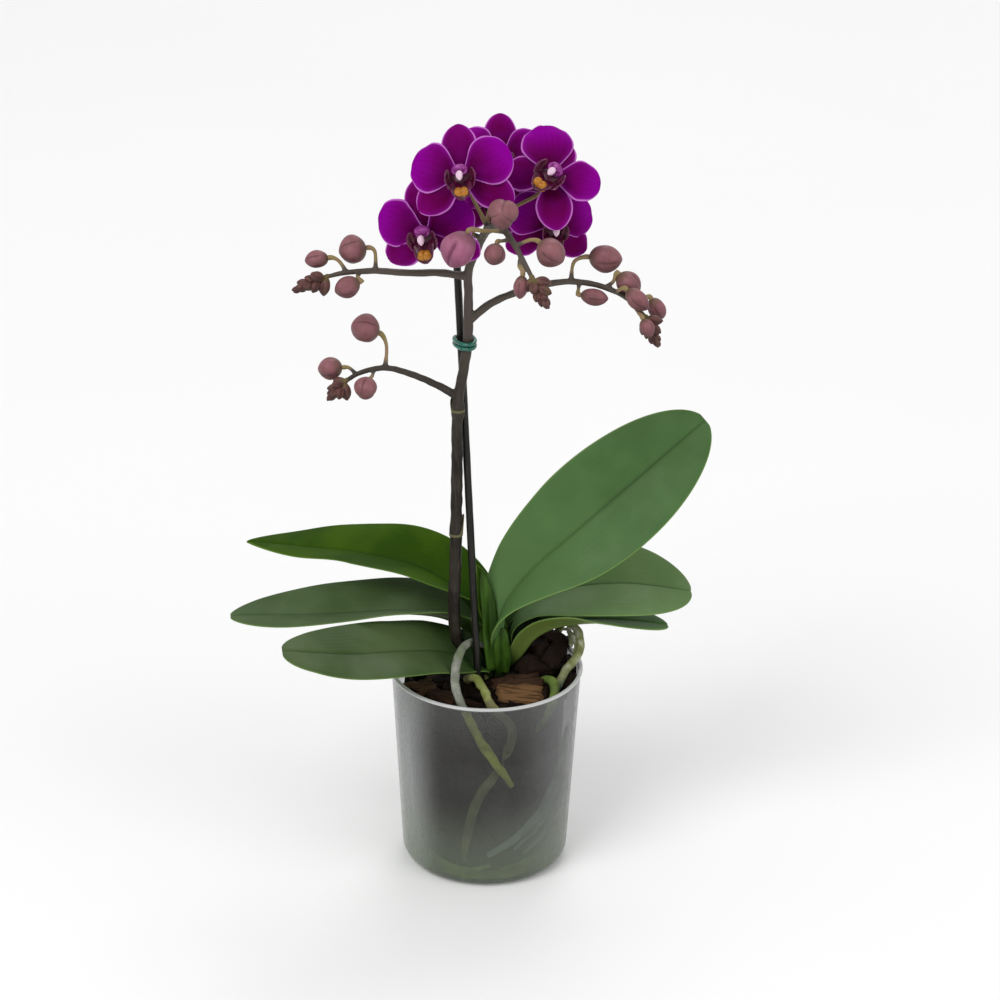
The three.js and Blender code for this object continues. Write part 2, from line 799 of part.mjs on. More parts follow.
// ---------------------------------------------------------------- buds
// root: where the pedicel leaves the stem; bend: a point that it passes; seat: where the bud sits on it;
// aim: the way the bud points.
const BUDS = [
  {
    name: "bud_left_low_1",
    root: v3(-46, -16, 252),
    bend: v3(-45.5, -14.5, 263),
    seat: v3(-49, -13, 267.8),
    aim: v3(-0.89, -0.23, 0.4),
    length: 13,
    radius: 6.2,
  },
  {
    name: "bud_left_low_2",
    root: v3(-51, -16.8, 252),
    bend: v3(-51.5, -21, 250.5),
    seat: v3(-52.5, -23, 249.5),
    aim: v3(-0.3, -0.85, -0.4),
    length: 10.5,
    radius: 4.9,
  },
  {
    name: "bud_left_low_3",
    root: v3(-58.5, -18.7, 250.3),
    bend: v3(-62, -15, 252),
    seat: v3(-65, -13.8, 251.6),
    aim: v3(-0.95, 0.05, -0.1),
    length: 11,
    radius: 4.9,
  },
  {
    name: "bud_left_high_1",
    root: v3(-50, -15, 297.5),
    bend: v3(-50.6, -12.5, 306),
    seat: v3(-54.1, -11.5, 306.8),
    aim: v3(-0.98, -0.13, -0.12),
    length: 12.2,
    radius: 6.2,
  },
  {
    name: "bud_left_high_2",
    root: v3(-62, -17.5, 296.6),
    bend: v3(-66, -15.2, 302),
    seat: v3(-70.5, -14.4, 303),
    aim: v3(-0.99, 0, -0.15),
    length: 10.5,
    radius: 3.8,
  },
  {
    name: "bud_left_high_3",
    root: v3(-57, -16.7, 297.2),
    bend: v3(-57.5, -21.5, 296.5),
    seat: v3(-56.7, -23, 295.2),
    aim: v3(-0.92, -0.22, -0.33),
    length: 11.5,
    radius: 4.6,
  },
  {
    name: "bud_right_1",
    root: v3(35, -20, 295.5),
    bend: v3(36.5, -17.5, 304),
    seat: v3(42.7, -17, 305.8),
    aim: v3(0.99, -0.1, -0.03),
    length: 14.6,
    radius: 5.9,
  },
  {
    name: "bud_right_2",
    root: v3(38.5, -21.2, 295.5),
    bend: v3(38.2, -25.4, 293.4),
    seat: v3(39.2, -27, 292),
    aim: v3(0.98, -0.17, -0.08),
    length: 12.2,
    radius: 3.6,
  },
  {
    name: "bud_right_3",
    root: v3(50, -24.5, 294.5),
    bend: v3(53.5, -25, 298),
    seat: v3(55.6, -24, 300.6),
    aim: v3(0.73, -0.17, -0.66),
    length: 12,
    radius: 5,
  },
  {
    name: "bud_right_4",
    root: v3(54, -26.3, 293),
    bend: v3(56, -30.6, 296),
    seat: v3(59, -32, 296.4),
    aim: v3(0.75, -0.25, -0.61),
    length: 12.4,
    radius: 4,
  },
  {
    name: "bud_right_5",
    root: v3(62, -29.4, 289),
    bend: v3(67, -25, 290.4),
    seat: v3(69.9, -23.5, 289.2),
    aim: v3(0.52, 0.05, -0.86),
    length: 10.7,
    radius: 3.7,
  },
  {
    name: "bud_right_6",
    root: v3(63, -30, 287.8),
    bend: v3(64.6, -35.2, 286.6),
    seat: v3(66.1, -37, 285),
    aim: v3(0.42, -0.35, -0.84),
    length: 8.5,
    radius: 3.1,
  },
  {
    name: "bud_front_top",
    root: v3(6, -47, 328),
    bend: v3(7, -51, 334),
    seat: v3(5.8, -53.8, 338),
    aim: v3(-0.1, -0.95, 0.3),
    length: 12.5,
    radius: 6.1,
  },
  {
    name: "bud_front_opening",
    root: v3(6, -48, 328),
    bend: v3(-3, -55, 330.5),
    seat: v3(-9.5, -56.5, 330),
    aim: v3(-0.45, -0.1, -0.88),
    length: 16.5,
    radius: 7,
  },
  {
    name: "bud_front_left",
    root: v3(8.5, -54, 326.6),
    bend: v3(4.5, -53.5, 325.5),
    seat: v3(2.8, -53, 324),
    aim: v3(-0.2, -0.6, -0.75),
    length: 9.5,
    radius: 4.4,
  },
  {
    name: "bud_front_right",
    root: v3(10.5, -58, 325),
    bend: v3(17, -60, 328.5),
    seat: v3(20.8, -60.8, 327.5),
    aim: v3(0.73, -0.47, -0.49),
    length: 13,
    radius: 5.9,
  },
  {
    name: "bud_front_low",
    root: v3(13, -63, 321.8),
    bend: v3(12.2, -66, 319),
    seat: v3(13.6, -68, 315.6),
    aim: v3(-0.1, -0.25, -0.96),
    length: 10,
    radius: 3,
  },
];

// The tight knots of the smallest buds, at the branch tips.
// from: where a knot starts; aim: the way it points; seed: its own random draws.
const BUD_TIPS = [
  {
    name: "bud_tip_left_low",
    from: v3(-63, -20, 247.8),
    aim: v3(-0.7, -0.4, -0.6),
    length: 13,
    seed: 3,
  },
  {
    name: "bud_tip_left_high",
    from: v3(-71, -19, 296),
    aim: v3(-0.92, -0.16, -0.36),
    length: 20,
    seed: 5,
  },
  {
    name: "bud_tip_right",
    from: v3(67.6, -32, 283.8),
    aim: v3(0.4, -0.1, -0.9),
    length: 18,
    seed: 8,
  },
  {
    name: "bud_tip_front",
    from: v3(17.6, -71.1, 315.8),
    aim: v3(0.47, -0.35, -0.81),
    length: 18,
    seed: 11,
  },
];

// A knot of small buds round a short axis, each set in the axis by its root.
function makeBudTip({ from, aim, length, seed }) {
  const random = seeded(seed);
  const direction = aim.clone().normalize();
  const start = from.clone().addScaledVector(direction, GAP);
  const axis = [start, start.clone().addScaledVector(direction, length * 0.75)];
  const parts = [solidOf(tube(axis, [1.3, 0.9], 5, 1))];
  const count = 5;
  for (let i = 0; i < count; i++) {
    const share = i / (count - 1);
    const turn = i * 2.3 + seed;
    const lean = THREE.MathUtils.lerp(1.05, 0.12, share);
    const side = v3(Math.cos(turn), Math.sin(turn), 0).applyMatrix4(
      new THREE.Matrix4().extractRotation(aimed(v3(0, 0, 0), direction)),
    );
    const way = direction.clone().multiplyScalar(Math.cos(lean)).addScaledVector(side, Math.sin(lean));
    const at = start.clone().addScaledVector(direction, 1.6 + share * length * 0.55);
    const size = THREE.MathUtils.lerp(1, 0.6, share) * (0.9 + 0.2 * random());
    parts.push(solidOf(moved(egg(7.4 * size, 2.8 * size, 5, 0.5, 2), aimed(at, way))));
  }
  return join(parts);
}

// ---------------------------------------------------------------- blooms
// Each sepal or petal starts at the bloom's middle, at its angle from the bloom's right-hand side.
const SEPAL = { length: 23, halfWidth: 7.6, forward: 0, shape: { root: 0.3, widest: 0.52, tip: 0.55 } };
const PETAL = { length: 22, halfWidth: 10.8, forward: 1.5, shape: { root: 0.2, widest: 0.54, tip: 0.42 } };
const TEPALS = [
  { angle: 90, ...SEPAL },
  { angle: 211, ...SEPAL },
  { angle: 329, ...SEPAL },
  { angle: 156, ...PETAL, columns: 4 },
  { angle: 24, ...PETAL, columns: 4 },
];

// The same in the right bloom, whose top sepal is tucked behind a petal.
const TURNED_TEPALS = [
  { angle: 116, ...SEPAL, length: 17 },
  { angle: 215, ...SEPAL, length: 19.5 },
  { angle: 320, ...SEPAL, length: 22 },
  { angle: 139, ...PETAL, columns: 4 },
  { angle: 34, ...PETAL, length: 20.5, halfWidth: 8.6, columns: 4 },
];

// centre: the point where the sepals meet; facing: the way the bloom looks; up: the way its top sepal
// stands; stalk: the pedicel's points from the stem to behind the bloom; size: 1 is about 44 mm across;
// tepals: its own set, where it has one.
const BLOOMS = [
  {
    name: "bloom_front_left",
    centre: v3(-12.3, -44, 350.5),
    facing: v3(-0.1, -0.88, 0.42),
    up: v3(-0.12, 0.44, 0.87),
    stalk: [v3(-0.8, -25, 321), v3(-7, -28, 334), v3(-11, -34, 345)],
    size: 1.02,
  },
  {
    name: "bloom_right",
    centre: v3(25.3, -27, 345),
    facing: v3(0.06, -0.8, 0.59),
    up: v3(0.68, 0.48, 0.58),
    stalk: [v3(1.5, -33, 324.5), v3(10, -26, 331), v3(20, -20, 335)],
    size: 1.06,
    tepals: TURNED_TEPALS,
  },
  {
    name: "bloom_back_top",
    centre: v3(3.5, -8, 346),
    facing: v3(0.06, -0.84, 0.5),
    up: v3(0.02, 0.5, 0.84),
    stalk: [v3(-2.6, -19, 316.5), v3(0, -5, 327), v3(3, -0.5, 339)],
    size: 0.95,
  },
  {
    name: "bloom_left_low",
    centre: v3(-27, -33, 322.5),
    facing: v3(-0.27, -0.94, -0.05),
    up: v3(-0.2, 0, 0.96),
    stalk: [v3(-3.9, -15, 313), v3(-14, -16, 318), v3(-24, -23, 322)],
    size: 1.04,
  },
  {
    name: "bloom_right_low",
    centre: v3(25.5, -16, 319.5),
    facing: v3(0.32, -0.92, 0.08),
    up: v3(0.12, 0.06, 0.98),
    stalk: [v3(-2, -21, 318), v3(9, -10, 318), v3(20, -6, 319.5)],
    size: 0.94,
  },
  {
    name: "bloom_middle",
    centre: v3(3, 4, 323),
    facing: v3(0.02, -0.96, 0.2),
    up: v3(0.1, 0.2, 0.96),
    stalk: [v3(-7.6, -10, 302), v3(-4, 5, 306), v3(1, 12, 317)],
    size: 0.92,
  },
];

const TEPAL_ROWS = 4;
const HUB_RADIUS = 2.7;
const OVARY_LENGTH = 4.2;

// No two blooms open quite alike: each petal is turned and bent a little by the draw.
function makeTepals(random, tepals = TEPALS) {
  const parts = tepals.map(({ angle, length, halfWidth, forward, shape, columns = 2 }) => {
    const turn = THREE.MathUtils.degToRad(angle + 5 * (random() - 0.5));
    const reach = length * (0.96 + 0.08 * random());
    const bend = -1.6 + 2 * (random() - 0.5);
    const out = v3(Math.cos(turn), Math.sin(turn), 0);
    const along = (share, z) => out.clone().multiplyScalar(share * reach).setZ(z + forward);
    return solidOf(
      blade({
        spine: [along(0.08, 0), along(0.35, 0.9), along(0.7, 0.6), along(1, bend)],
        ups: [v3(0, 0, 1), v3(0, 0, 1), v3(0, 0, 1), v3(0, 0, 1)],
        halfWidth,
        shape,
        fold: [-4, -9],
        thickness: SEPAL_THICKNESS,
        rows: TEPAL_ROWS,
        columns,
      }),
    );
  });
  const hub = new THREE.SphereGeometry(HUB_RADIUS, 6, 4);
  const ovary = tube([v3(0, 0, -OVARY_LENGTH), v3(0, 0, 0)], [1.2, 1.8], 5, 1);
  return join([...parts, solidOf(hub), solidOf(ovary)]);
}

// The lip: a tongue that juts forward and down, two side lobes that stand up beside the column, and a
// callus between them.
function makeLip() {
  const lobe = { root: 0.45, widest: 0.5, tip: 0.6 };
  const tongue = blade({
    spine: [v3(0, -2.5, 2), v3(0, -4.4, 5.2), v3(0, -7.6, 8.3), v3(0, -11.5, 9.4)],
    ups: [v3(0, 0.8, 0.6), v3(0, 0.7, 0.7), v3(0, 0.5, 0.85), v3(0, 0.2, 1)],
    halfWidth: 4.2,
    shape: { root: 0.6, widest: 0.45, tip: 0.75 },
    fold: [30, 8],
    thickness: 1.1,
    rows: 3,
    columns: 2,
  });
  const wing = (side) =>
    blade({
      spine: [
        v3(side * 1.2, -3.9, 4),
        v3(side * 4.4, -3, 5.2),
        v3(side * 5.8, -0.4, 6.6),
        v3(side * 5, 2, 7.8),
      ],
      ups: [v3(-side * 0.2, 1, 0), v3(-side * 0.8, 0.6, 0), v3(-side, 0, 0.1), v3(-side, -0.1, 0.2)],
      halfWidth: 2.8,
      shape: lobe,
      fold: [0, 6],
      thickness: 1,
      rows: 2,
      columns: 2,
    });
  const callus = new THREE.SphereGeometry(1.9, 5, 4).scale(1, 0.8, 1.1).translate(0, -3.8, 6.4);
  return join([solidOf(tongue), solidOf(wing(1)), solidOf(wing(-1)), solidOf(callus)]);
}

// The column: a short club over the lip, with the anther cap at its end.
function makeColumn() {
  const points = [v3(0, 0.3, 2.65), v3(0, 1.1, 5), v3(0, 1.4, 7.2), v3(0, 0, 8.6)];
  return solidOf(tube(points, [1.8, 1.7, 2, 1.3], 6, 4));
}

// Carries a bloom's own frame (right, up, facing) to its place.
function bloomMatrix({ centre, facing, up, size }) {
  const z = facing.clone().normalize();
  const x = up.clone().cross(z).normalize();
  const y = z.clone().cross(x);
  return new THREE.Matrix4()
    .makeBasis(x, y, z)
    .setPosition(centre)
    .multiply(new THREE.Matrix4().makeScale(size, size, size));
}

// ---------------------------------------------------------------- spike solid
const PEDICEL_SIDES = 5;

function makeSpike() {
  const parts = [solidOf(tube(STEM.points, STEM.radii, 7, STEM.steps))];
  for (const { points, radii } of BRANCHES) parts.push(solidOf(tube(points, radii, 6, points.length + 3)));
  for (const { x, level } of BRACT_COLLARS) {
    parts.push(solidOf(tube([v3(x, -8, level - 3), v3(x, -8, level + 3)], [2.8, 3.5], 6, 1)));
  }
  for (const { root, bend, seat, aim } of BUDS) {
    const way = aim.clone().normalize();
    const end = seat.clone().addScaledVector(way, -GAP);
    const before = end.clone().addScaledVector(way, -1.2);
    parts.push(solidOf(tube([root, bend, before, end], [1.3, 1, 1.1, 1.3], PEDICEL_SIDES, 4)));
  }
  for (const bloom of BLOOMS) {
    const back = v3(0, 0, -OVARY_LENGTH - GAP).applyMatrix4(bloomMatrix(bloom));
    const before = v3(0, 0, -7).applyMatrix4(bloomMatrix(bloom));
    parts.push(solidOf(tube([...bloom.stalk, before, back], [1.3, 1, 1, 1.2], PEDICEL_SIDES, 5)));
  }
  return join(parts);
}

// ---------------------------------------------------------------- stake and tie
function stakeSolid(more) {
  const ends = [STAKE_FOOT, STAKE_TIP];
  return solidOf(tube(ends, [STAKE_RADIUS + more, STAKE_RADIUS + more], 8, 1));
}

// A wire wound twice round the stem and the stake.
function makeTie() {
  const stem = v3(-9.8, -8, TIE_LEVEL);
  const share = (TIE_LEVEL - STAKE_FOOT.z) / (STAKE_TIP.z - STAKE_FOOT.z);
  const stake = STAKE_FOOT.clone().lerp(STAKE_TIP, share);
  const middle = stem.clone().lerp(stake, 0.44);
  const long = stake.clone().sub(stem).setZ(0);
  const halfLong = long.length() / 2 + STAKE_RADIUS + GAP + TIE_WIRE_RADIUS + 0.5;
  const halfShort = 3.9;
  const turns = 2;
  const pitch = 2.3 * TIE_WIRE_RADIUS;
  const steps = 24;
  long.normalize();
  const short = v3(-long.y, long.x, 0);
  const points = [];
  for (let i = 0; i <= steps; i++) {
    const turn = (2 * Math.PI * turns * i) / steps - 0.6;
    points.push(
      middle
        .clone()
        .addScaledVector(long, Math.cos(turn) * halfLong)
        .addScaledVector(short, Math.sin(turn) * halfShort)
        .setZ(TIE_LEVEL + pitch * turns * (i / steps - 0.5)),
    );
  }
  return solidOf(tube(points, [TIE_WIRE_RADIUS, TIE_WIRE_RADIUS], 5, 22));
}

// ---------------------------------------------------------------- assembly
addMesh("pot", geometryOf(makePot()), MATERIALS.pot);

const stakeRoom = stakeSolid(GAP);
const crownRoom = crownSolid(GAP);

let bark = makeBark().subtract(crownRoom).subtract(stakeRoom);
for (const root of ROOTS) bark = bark.subtract(rootTube(root, GAP + 0.1));
addMesh("bark", geometryOf(largest(bark)), MATERIALS.bark);

for (const root of ROOTS) {
  addMesh(root.name, geometryOf(largest(rootTube(root, 0).subtract(crownRoom))), root.material);
}

addMesh("crown", geometryOf(crownSolid(0)), MATERIALS.crown);
for (const leaf of LEAVES) {
  const solid = largest(makeLeaf(leaf).subtract(crownRoom));
  addMesh(leaf.name, geometryOf(solid), leaf.material ?? MATERIALS.leaf);
}

addMesh("flower_spike", geometryOf(largest(makeSpike().subtract(crownRoom))), MATERIALS.spike);
addMesh("stake", geometryOf(stakeSolid(0)), MATERIALS.stake);
addMesh("tie", geometryOf(makeTie()), MATERIALS.tie);

for (const { name, seat, aim, length, radius } of BUDS) {
  addMesh(name, moved(egg(length, radius, 7, 0.56, 4), aimed(seat, aim)), MATERIALS.bud);
}
for (const tip of BUD_TIPS) addMesh(tip.name, geometryOf(makeBudTip(tip)), MATERIALS.youngBud);

const columnGeometry = geometryOf(makeColumn());
const lipGeometry = geometryOf(makeLip());
const bloomDraw = seeded(21);
for (const bloom of BLOOMS) {
  const group = new THREE.Group();
  group.applyMatrix4(bloomMatrix(bloom));
  orchid.add(group);
  addMesh(`${bloom.name}_tepals`, geometryOf(makeTepals(bloomDraw, bloom.tepals)), MATERIALS.tepal, group);
  addMesh(`${bloom.name}_column`, columnGeometry, MATERIALS.column, group);
  addMesh(`${bloom.name}_lip`, lipGeometry, MATERIALS.lip, group);
}

export default orchid;
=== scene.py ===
"""A small moth orchid in a clear plastic grow pot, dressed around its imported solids.

Lengths are millimetres until a mesh is made, with +Z up and the blooms facing -Y.
"""

import math

import bmesh
import bpy
import numpy as np
from mathutils import Matrix, kdtree


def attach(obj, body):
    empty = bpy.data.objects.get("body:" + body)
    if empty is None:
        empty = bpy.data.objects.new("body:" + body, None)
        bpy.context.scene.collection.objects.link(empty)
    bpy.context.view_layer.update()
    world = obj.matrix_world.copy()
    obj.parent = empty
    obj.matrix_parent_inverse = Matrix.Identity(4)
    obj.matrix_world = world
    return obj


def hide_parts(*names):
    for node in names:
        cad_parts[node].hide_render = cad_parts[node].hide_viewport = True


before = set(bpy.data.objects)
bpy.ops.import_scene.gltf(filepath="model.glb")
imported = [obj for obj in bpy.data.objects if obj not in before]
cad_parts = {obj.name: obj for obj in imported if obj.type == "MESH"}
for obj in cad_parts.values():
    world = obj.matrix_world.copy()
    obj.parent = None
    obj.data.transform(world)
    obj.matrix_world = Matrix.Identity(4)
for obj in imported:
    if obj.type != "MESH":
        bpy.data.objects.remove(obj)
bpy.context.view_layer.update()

MM = 0.001

# ---------------- driving dimensions
POT_HEIGHT = 98
RIM_RADIUS = 45
WALL_TOP_RADIUS = RIM_RADIUS - 0.8
FOOT_RADIUS = 39
FOOT_ROUND = 7
POT_WALL = 1.2
DRAIN_HOLES = 8
DRAIN_RADIUS = 2.6
DRAIN_RING_RADIUS = 22
GAP = 0.3

BARK_RIM_LEVEL = 90
BARK_CROWN_LEVEL = 95
MOUND = {"x": 25, "y": 15, "radius": 12, "top": 108}
TOP_CHIPS, HEAP_CHIPS, WALL_CHIPS = 64, 10, 150
TOP_RADIUS = 39
GOLDEN_ANGLE = 2.399963

CROWN = {"x": 3.3, "y": 0, "radius": 6.1, "stretch": 1.3, "bottom": 84, "shoulder": 113, "top": 124}
LEAF_THICKNESS = 1.8
ROOT_INSET = 2.9
ROOT_SWELL = 1.02

STAKE_RADIUS = 1.7
STAKE_FOOT = np.array([0.9, -19.4, 12])
STAKE_TIP = np.array([-14.9, 1.2, 297])
TIE_LEVEL = 261
TIE_WIRE_RADIUS = 0.9
TEPAL_THICKNESS = 0.9
OVARY_LENGTH = 4.2
STEM_Y = -8
MELT_CELL = 0.4


# ---------------- curves
def unit(vectors):
    vectors = np.asarray(vectors, float)
    return vectors / np.linalg.norm(vectors, axis=-1, keepdims=True)


def smooth_curve(points, at):
    """Places on the smooth curve that runs through all the points, at parameters from 0 to 1."""
    points = np.vstack([2 * points[0] - points[1], points, 2 * points[-1] - points[-2]])
    last = len(points) - 4
    place = np.asarray(at) * (last + 1)
    first = np.clip(place.astype(int), 0, last)
    w = (place - first)[:, None]
    p0, p1, p2, p3 = (points[first + k] for k in range(4))
    d0, d1, d2 = (np.sqrt(np.linalg.norm(a - b, axis=1))[:, None] for a, b in ((p0, p1), (p1, p2), (p2, p3)))
    d1 = np.where(d1 < 1e-4, 1, d1)
    d0, d2 = np.where(d0 < 1e-4, d1, d0), np.where(d2 < 1e-4, d1, d2)
    t1 = ((p1 - p0) / d0 - (p2 - p0) / (d0 + d1) + (p2 - p1) / d1) * d1
    t2 = ((p2 - p1) / d1 - (p3 - p1) / (d1 + d2) + (p3 - p2) / d2) * d1
    return p1 + w * (t1 + w * (-3 * p1 + 3 * p2 - 2 * t1 - t2 + w * (2 * p1 - 2 * p2 + t1 + t2)))


class Curve:
    """A smooth curve through points, read by the share of its length."""

    def __init__(self, points):
        self.points = np.array(points, float)
        self.grid = np.linspace(0, 1, 401)
        steps = np.linalg.norm(np.diff(smooth_curve(self.points, self.grid), axis=0), axis=1)
        self.lengths = np.concatenate([[0], np.cumsum(steps)])
        self.length = self.lengths[-1]

    def parameter(self, share):
        return np.interp(np.asarray(share) * self.length, self.lengths, self.grid)

    def at(self, share):
        return smooth_curve(self.points, self.parameter(share))


def wobble(points, size, seed, waves=8):
    """Smooth noise of about -1 to 1 at each point, with bumps about that size across."""
    draw = np.random.default_rng(seed)
    ways = unit(draw.normal(size=(waves, 3))) * (2 * np.pi / size * draw.uniform(0.6, 1.5, (waves, 1)))
    phase = draw.uniform(0, 2 * np.pi, waves)
    return np.sin(np.asarray(points) @ ways.T + phase).sum(axis=-1) / math.sqrt(waves)


def smooth_step(low, high, value):
    share = np.clip((value - low) / (high - low), 0, 1)
    return share * share * (3 - 2 * share)


def aimed(point, direction, roll=0.0):
    """The matrix that carries +Z to a direction and the origin to a point."""
    z = unit(direction)
    x = unit(np.cross([0, 0, 1] if abs(z[2]) < 0.9 else [1, 0, 0], z))
    y = np.cross(z, x)
    c, s = math.cos(roll), math.sin(roll)
    place = np.eye(4)
    place[:3, :3] = np.stack([x * c + y * s, y * c - x * s, z], axis=1)
    place[:3, 3] = point
    return place


def put(rings, place):
    return rings @ place[:3, :3].T + place[:3, 3]


# ---------------- forms
class Form:
    """Closed surfaces gathered into one mesh, with named values at each point."""

    def __init__(self):
        self.points, self.faces, self.values, self.count = [], [], {}, 0

    def add(self, points, faces, **values):
        points = np.asarray(points, float).reshape(-1, 3)
        self.faces += [[self.count + k for k in face] for face in faces]
        for key in {**self.values, **values}:
            kept = self.values.setdefault(key, [np.zeros(self.count)] if self.count else [])
            kept.append(np.broadcast_to(np.asarray(values.get(key, 0), float).ravel(), len(points)))
        self.points.append(points)
        self.count += len(points)

    def loft(self, rings, **values):
        """A closed form through rings of as many points each. A value may be one for each ring."""
        count, sides = rings.shape[:2]
        i, j = np.meshgrid(np.arange(count - 1), np.arange(sides), indexing="ij")
        a, b = i * sides + j, i * sides + (j + 1) % sides
        quads = np.stack([a, b, b + sides, a + sides], axis=-1).reshape(-1, 4).tolist()
        ends = [list(range(sides))[::-1], list(range((count - 1) * sides, count * sides))]
        for key, value in values.items():
            value = np.asarray(value, float)
            value = value[:, None] if value.ndim == 1 else value
            values[key] = np.broadcast_to(value, (count, sides)).ravel()
        self.add(rings, quads + ends, **values)

    def mesh(self, name):
        mesh = bpy.data.meshes.new(name)
        mesh.from_pydata((np.vstack(self.points) * MM).tolist(), [], self.faces)
        for key, parts in self.values.items():
            data = mesh.attributes.new(key, "FLOAT", "POINT").data
            data.foreach_set("value", np.concatenate(parts).astype(np.float32))
        shape = bmesh.new()
        shape.from_mesh(mesh)
        bmesh.ops.recalc_face_normals(shape, faces=shape.faces)
        shape.to_mesh(mesh)
        shape.free()
        mesh.shade_smooth()
        return mesh

    def piece(self, name, look, slot=None, node=None):
        piece(name, self.mesh(name), LOOKS[look], [node or name])


def placed(name, data):
    """A new object in the scene."""
    made = bpy.data.objects.new(name, data)
    bpy.context.scene.collection.objects.link(made)
    return made


def piece(name, mesh, material, nodes):
    """An object that stands for CAD nodes, which it hides, with the given material, attached to the root
    body.
    """
    made = placed(name, mesh)
    mesh.materials.clear()
    mesh.materials.append(material)
    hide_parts(*nodes)
    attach(made, "root")
    return made


def evaluated(made):
    """The object's mesh with its modifiers applied. The object itself is removed."""
    mesh = bpy.data.meshes.new_from_object(made.evaluated_get(bpy.context.evaluated_depsgraph_get()))
    bpy.data.objects.remove(made)
    return mesh


def tube_rings(points, radii, sides, step, bump=0.0, bump_size=4.0, seed=1):
    """Rings round a curve, with rounded ends."""
    curve = Curve(points)
    length = curve.length
    near = np.array([0.002, 0.05, 0.15, 0.3, 0.5, 0.75])
    even = np.linspace(0, length, max(int(length / step), 4) + 1)
    along = np.concatenate([even, near * radii[0], length - near * radii[-1]])
    along = np.unique(np.clip(along, 0, length))
    radius = np.interp(along / length, np.linspace(0, 1, len(radii)), radii)
    for away, end in ((along, radii[0]), (length - along, radii[-1])):
        inside = np.clip(1 - away / end, 0, 1)
        radius = radius * np.sqrt(np.clip(1 - inside**2, 0.001, 1))
    path = curve.at(along / length)
    tangents = unit(np.gradient(path, along, axis=0))
    helper = np.eye(3)[np.argmin(np.abs(tangents[0]))]
    normals = [unit(np.cross(tangents[0], helper))]
    for tangent in tangents[1:]:
        normals.append(unit(normals[-1] - tangent * (normals[-1] @ tangent)))
    normals = np.array(normals)
    binormals = np.cross(tangents, normals)
    turn = np.linspace(0, 2 * np.pi, sides, endpoint=False)
    way = normals[:, None] * np.cos(turn)[:, None] + binormals[:, None] * np.sin(turn)[:, None]
    reach = np.repeat(radius[:, None], sides, axis=1)
    if bump:
        reach = reach * (1 + bump * wobble(path[:, None] + way * radius[:, None, None], bump_size, seed))
    return path[:, None] + way * reach[..., None]


def outline(s, root, widest, tip):
    """The half width of a leaf, sepal or petal at s, from 0 at its root to 1 at its tip."""
    rising = root + (1 - root) * np.sin(np.pi / 2 * np.minimum(s / widest, 1)) ** 1.3
    falling = np.maximum(1 - np.maximum((s - widest) / (1 - widest), 0) ** 2, 0) ** tip
    return np.where(s < widest, rising, falling)


# How far from the midrib to the edge the points of a blade lie.
HALF_LEAF = np.array([
    0, 0.02, 0.045, 0.08, 0.13, 0.2, 0.28, 0.37, 0.47, 0.57, 0.67, 0.76, 0.84, 0.9, 0.945, 0.975, 0.992, 1])
HALF_PETAL = np.array([0, 0.12, 0.24, 0.36, 0.48, 0.6, 0.7, 0.79, 0.86, 0.915, 0.955, 0.982, 1])


def blade(form, spine, ups, half_width, shape, fold, thickness, rows, half, place=None,
          groove=0.0, keel=0.0, puff=0.0, ripple=0.0, ripple_size=7.0, clasp=0.0, seed=1, **values):
    """A leaf, sepal or petal along a spine. Its two halves rise from the midrib by the fold in degrees,
    and at its root by as much more as it clasps what carries it."""
    path, facing = Curve(spine), Curve(ups)
    s = 0.996 * (1 - (1 - np.linspace(0, 1, rows + 1)) ** 1.45)
    t = path.parameter(s)
    along = lambda at: smooth_curve(path.points, np.clip(at, 0, 1))
    tangent = unit(along(t + 1e-4) - along(t - 1e-4))
    up = smooth_curve(facing.points, t)
    up = unit(up - tangent * (up * tangent).sum(axis=1, keepdims=True))
    across = np.cross(tangent, up)
    angle = np.radians(fold[0] + (fold[1] - fold[0]) * s + clasp * np.exp(-((s / 0.13) ** 2)))[:, None]
    width = (half_width * outline(s, *shape))[:, None]
    v = np.concatenate([-half[:0:-1], half])[None, :]
    soft = np.sqrt(v * v + 0.002) - math.sqrt(0.002)
    arch = puff * width * np.sin(np.pi * np.abs(v)) * np.sin(np.pi * s)[:, None]
    rise = soft * np.sin(angle) * width + arch
    aside = v * width * np.cos(angle)
    grid = along(t)[:, None] - across[:, None] * aside[..., None] + up[:, None] * rise[..., None]
    if ripple:
        lift = wobble(grid, ripple_size, seed) * ripple * np.abs(v) ** 1.5 * smooth_step(0.1, 0.4, s)[:, None]
        grid = grid + up[:, None] * lift[..., None]
    normal = unit(np.cross(np.gradient(grid, axis=1), np.gradient(grid, axis=0)))
    flip = np.sign((normal * up[:, None]).sum(axis=-1, keepdims=True))
    normal = normal * np.where(flip == 0, 1, flip)
    body = thickness / 2 * (1 - 0.3 * np.abs(v)) * np.sqrt(np.clip(1 - np.abs(v) ** 8, 0, 1))
    body = body * np.sqrt(np.clip(1 - s**40, 0.02, 1))[:, None]
    away = np.abs(v) * width
    top = grid + normal * (body - groove * np.exp(-((away / 0.7) ** 2)))[..., None]
    under = grid - normal * (body + keel * np.exp(-((away / 1.7) ** 2)) * (1 - s[:, None]))[..., None]
    around = lambda above, below: np.concatenate([above, below[:, -2:0:-1]], axis=1)
    rings = around(top, under)
    if place is not None:
        rings = put(rings, place)
    whole = np.ones((rows + 1, v.shape[1]))
    side, edge = v * whole, width * (1 - np.abs(v))
    form.loft(rings, along=s, side=around(side, side), edge=around(edge, edge),
              under=around(0 * whole, whole), **values)


